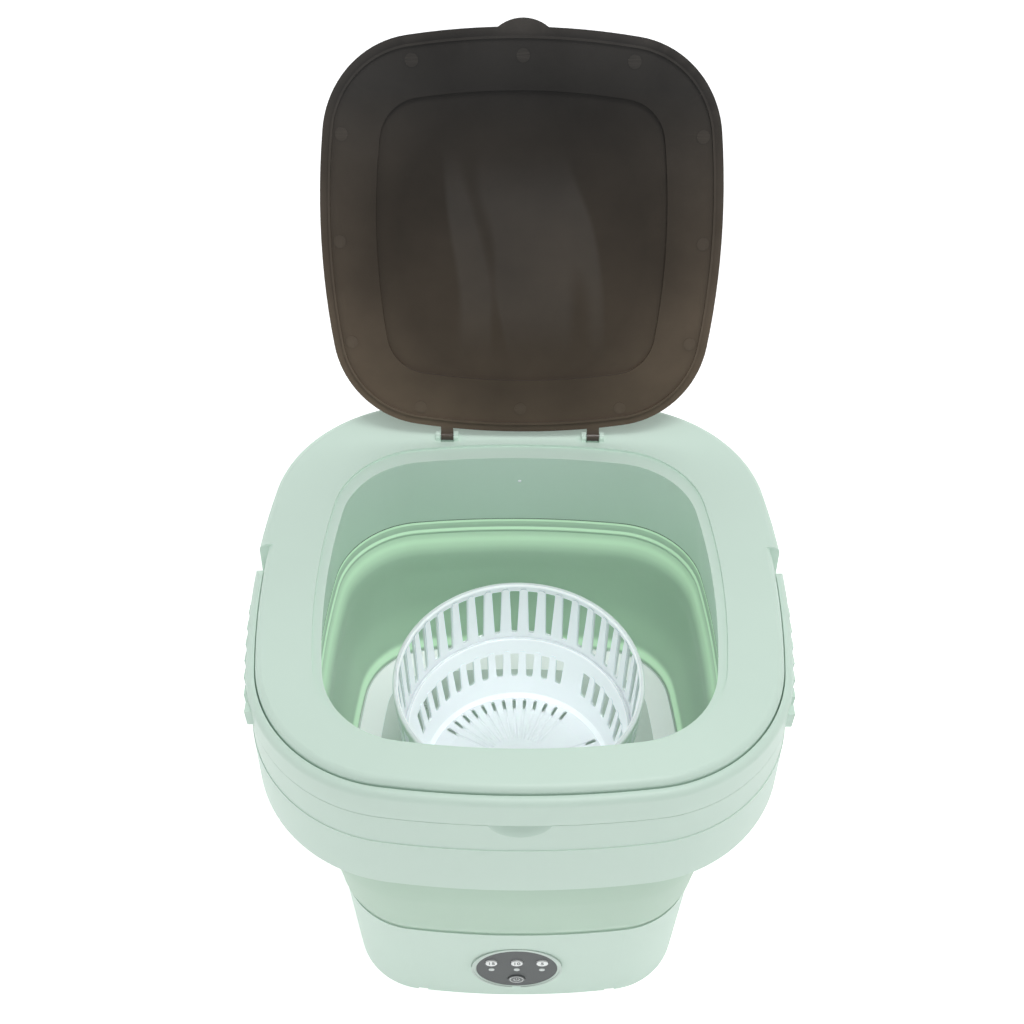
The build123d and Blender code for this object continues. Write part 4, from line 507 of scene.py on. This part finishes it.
def number(text, x, y, body):
    """A printed number on the face of a time button."""
    curve = bpy.data.curves.new("number_" + text, "FONT")
    curve.body = text
    curve.align_x = "CENTER"
    curve.align_y = "CENTER"
    curve.size = NUMBER_SIZE
    curve.extrude = NUMBER_DEPTH
    obj = place_object("number_" + text, curve, FINISHES["panel_dark"])
    obj.location = (x, y, KEY_LEVEL)
    obj.rotation_euler = (math.pi / 2, 0, 0)
    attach(obj, body)


def printed(name, points, y, body, closed=False):
    """A thin printed line along (x, z) points on the face of a button."""
    curve = bpy.data.curves.new(name, "CURVE")
    curve.dimensions = "3D"
    line = curve.splines.new("POLY")
    line.points.add(len(points) - 1)
    for spot, (x, z) in zip(line.points, points):
        spot.co = (x, y, z, 1)
    line.use_cyclic_u = closed
    curve.bevel_depth = LINE_WIDTH
    curve.bevel_resolution = 2
    obj = place_object(name, curve, FINISHES["button_white"])
    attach(obj, body)


def arc(radius, level, start, end, steps=48):
    """Points on an arc round a centre at a level, from one angle to another in degrees."""
    angles = [math.radians(start + (end - start) * step / steps) for step in range(steps + 1)]
    return [(radius * math.sin(angle), level + radius * math.cos(angle)) for angle in angles]


key_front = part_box("time_button_10")[0].y
for text, x in (("15", -KEY_STEP), ("10", 0.0), ("5", KEY_STEP)):
    number(text, x, key_front - NUMBER_LIFT, "time_key_" + text)

power_low, power_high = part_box("power_button")
power_front = power_low.y - LINE_LIFT
power_level = (power_low.z + power_high.z) / 2
printed("power_ring", arc(RING_RADIUS, power_level, 0, 352.5), power_front, "power_key", closed=True)
printed("standby_arc", arc(STANDBY_RADIUS, power_level, STANDBY_GAP, 360 - STANDBY_GAP), power_front,
        "power_key")
printed("standby_bar", [(0, power_level + BAR_FOOT), (0, power_level + BAR_HEAD)], power_front, "power_key")


# Stage and light

def sweep_floor():
    """A floor that curves up behind the object."""
    mesh = bpy.data.meshes.new("floor")
    profile = [(FLOOR_FRONT, 0.0), (FLOOR_REAR, 0.0)]
    profile += [(FLOOR_REAR + SWEEP_RADIUS * math.sin(a), SWEEP_RADIUS - SWEEP_RADIUS * math.cos(a))
                for a in SWEEP_ANGLES]
    profile.append((FLOOR_REAR + SWEEP_RADIUS, FLOOR_TOP))
    verts = [(x, y, z) for x in (-FLOOR_SIDE, FLOOR_SIDE) for y, z in profile]
    count = len(profile)
    mesh.from_pydata(verts, [], [(i, i + 1, count + i + 1, count + i) for i in range(count - 1)])
    mesh.shade_smooth()
    return place_object("floor", mesh, studio_floor("studio_floor"))


def lamp(name, place, target, size, power, spread=180.0):
    """A soft box that looks at a target."""
    light = bpy.data.lights.new(name, "AREA")
    light.shape = "RECTANGLE"
    light.size, light.size_y = size
    light.energy = power
    light.spread = math.radians(spread)
    made = bpy.data.objects.new(name, light)
    bpy.context.scene.collection.objects.link(made)
    made.location = place
    made.rotation_euler = (Vector(target) - Vector(place)).to_track_quat("-Z", "Y").to_euler()


floor = sweep_floor()

world = bpy.data.worlds.new("studio")
bpy.context.scene.world = world
world.use_nodes = True
world.node_tree.nodes["Background"].inputs["Color"].default_value = SKY_COLOUR
world.node_tree.nodes["Background"].inputs["Strength"].default_value = SKY_STRENGTH

lamp("top", (0.2, -0.2, 1.8), (0, 0, 0.2), (0.6, 0.6), 8.5)
lamp("key", (0.15, -1.05, 1.65), (0, 0, 0.25), (0.7, 0.7), 3.4)
lamp("well", (0.0, -0.45, 1.3), (0, 0.03, 0.22), (0.2, 0.1), 0.010, spread=5.0)
lamp("left", (-1.6, -0.3, 0.9), (0, 0, 0.25), (1.0, 1.0), 3.3)
lamp("right", (1.6, -0.3, 0.9), (0, 0, 0.25), (1.0, 1.0), 2.4)


# Camera

def turned(vector):
    """A vector turned about the vertical by the camera's yaw."""
    across = vector.x * math.cos(YAW) + vector.y * math.sin(YAW)
    along = vector.y * math.cos(YAW) - vector.x * math.sin(YAW)
    return Vector((across, along, vector.z))


camera_data = bpy.data.cameras.new("camera")
camera_data.sensor_width = SENSOR_WIDTH
camera_data.lens = FOCAL_LENGTH * SENSOR_WIDTH / PHOTO_SIDE
camera_data.shift_x = (PHOTO_SIDE / 2 - PRINCIPAL_X) / PHOTO_SIDE
camera_data.shift_y = (PRINCIPAL_Y - PHOTO_SIDE / 2) / PHOTO_SIDE
camera_data.clip_start = 0.01
camera = bpy.data.objects.new("camera", camera_data)
bpy.context.scene.collection.objects.link(camera)
eye = Vector((0, -DISTANCE * math.cos(ELEVATION), DISTANCE * math.sin(ELEVATION)))
right = Vector((1, 0, 0))
up = Vector((0, math.sin(ELEVATION), math.cos(ELEVATION)))
right, up = right * math.cos(ROLL) + up * math.sin(ROLL), up * math.cos(ROLL) - right * math.sin(ROLL)
axes = Matrix([turned(right), turned(up), turned(right.cross(up))]).transposed().to_4x4()
camera.matrix_world = Matrix.Translation(turned(eye) + Vector((0, 0, AIM_LEVEL))) @ axes
bpy.context.scene.camera = camera
bpy.context.scene.view_settings.view_transform = "Standard"
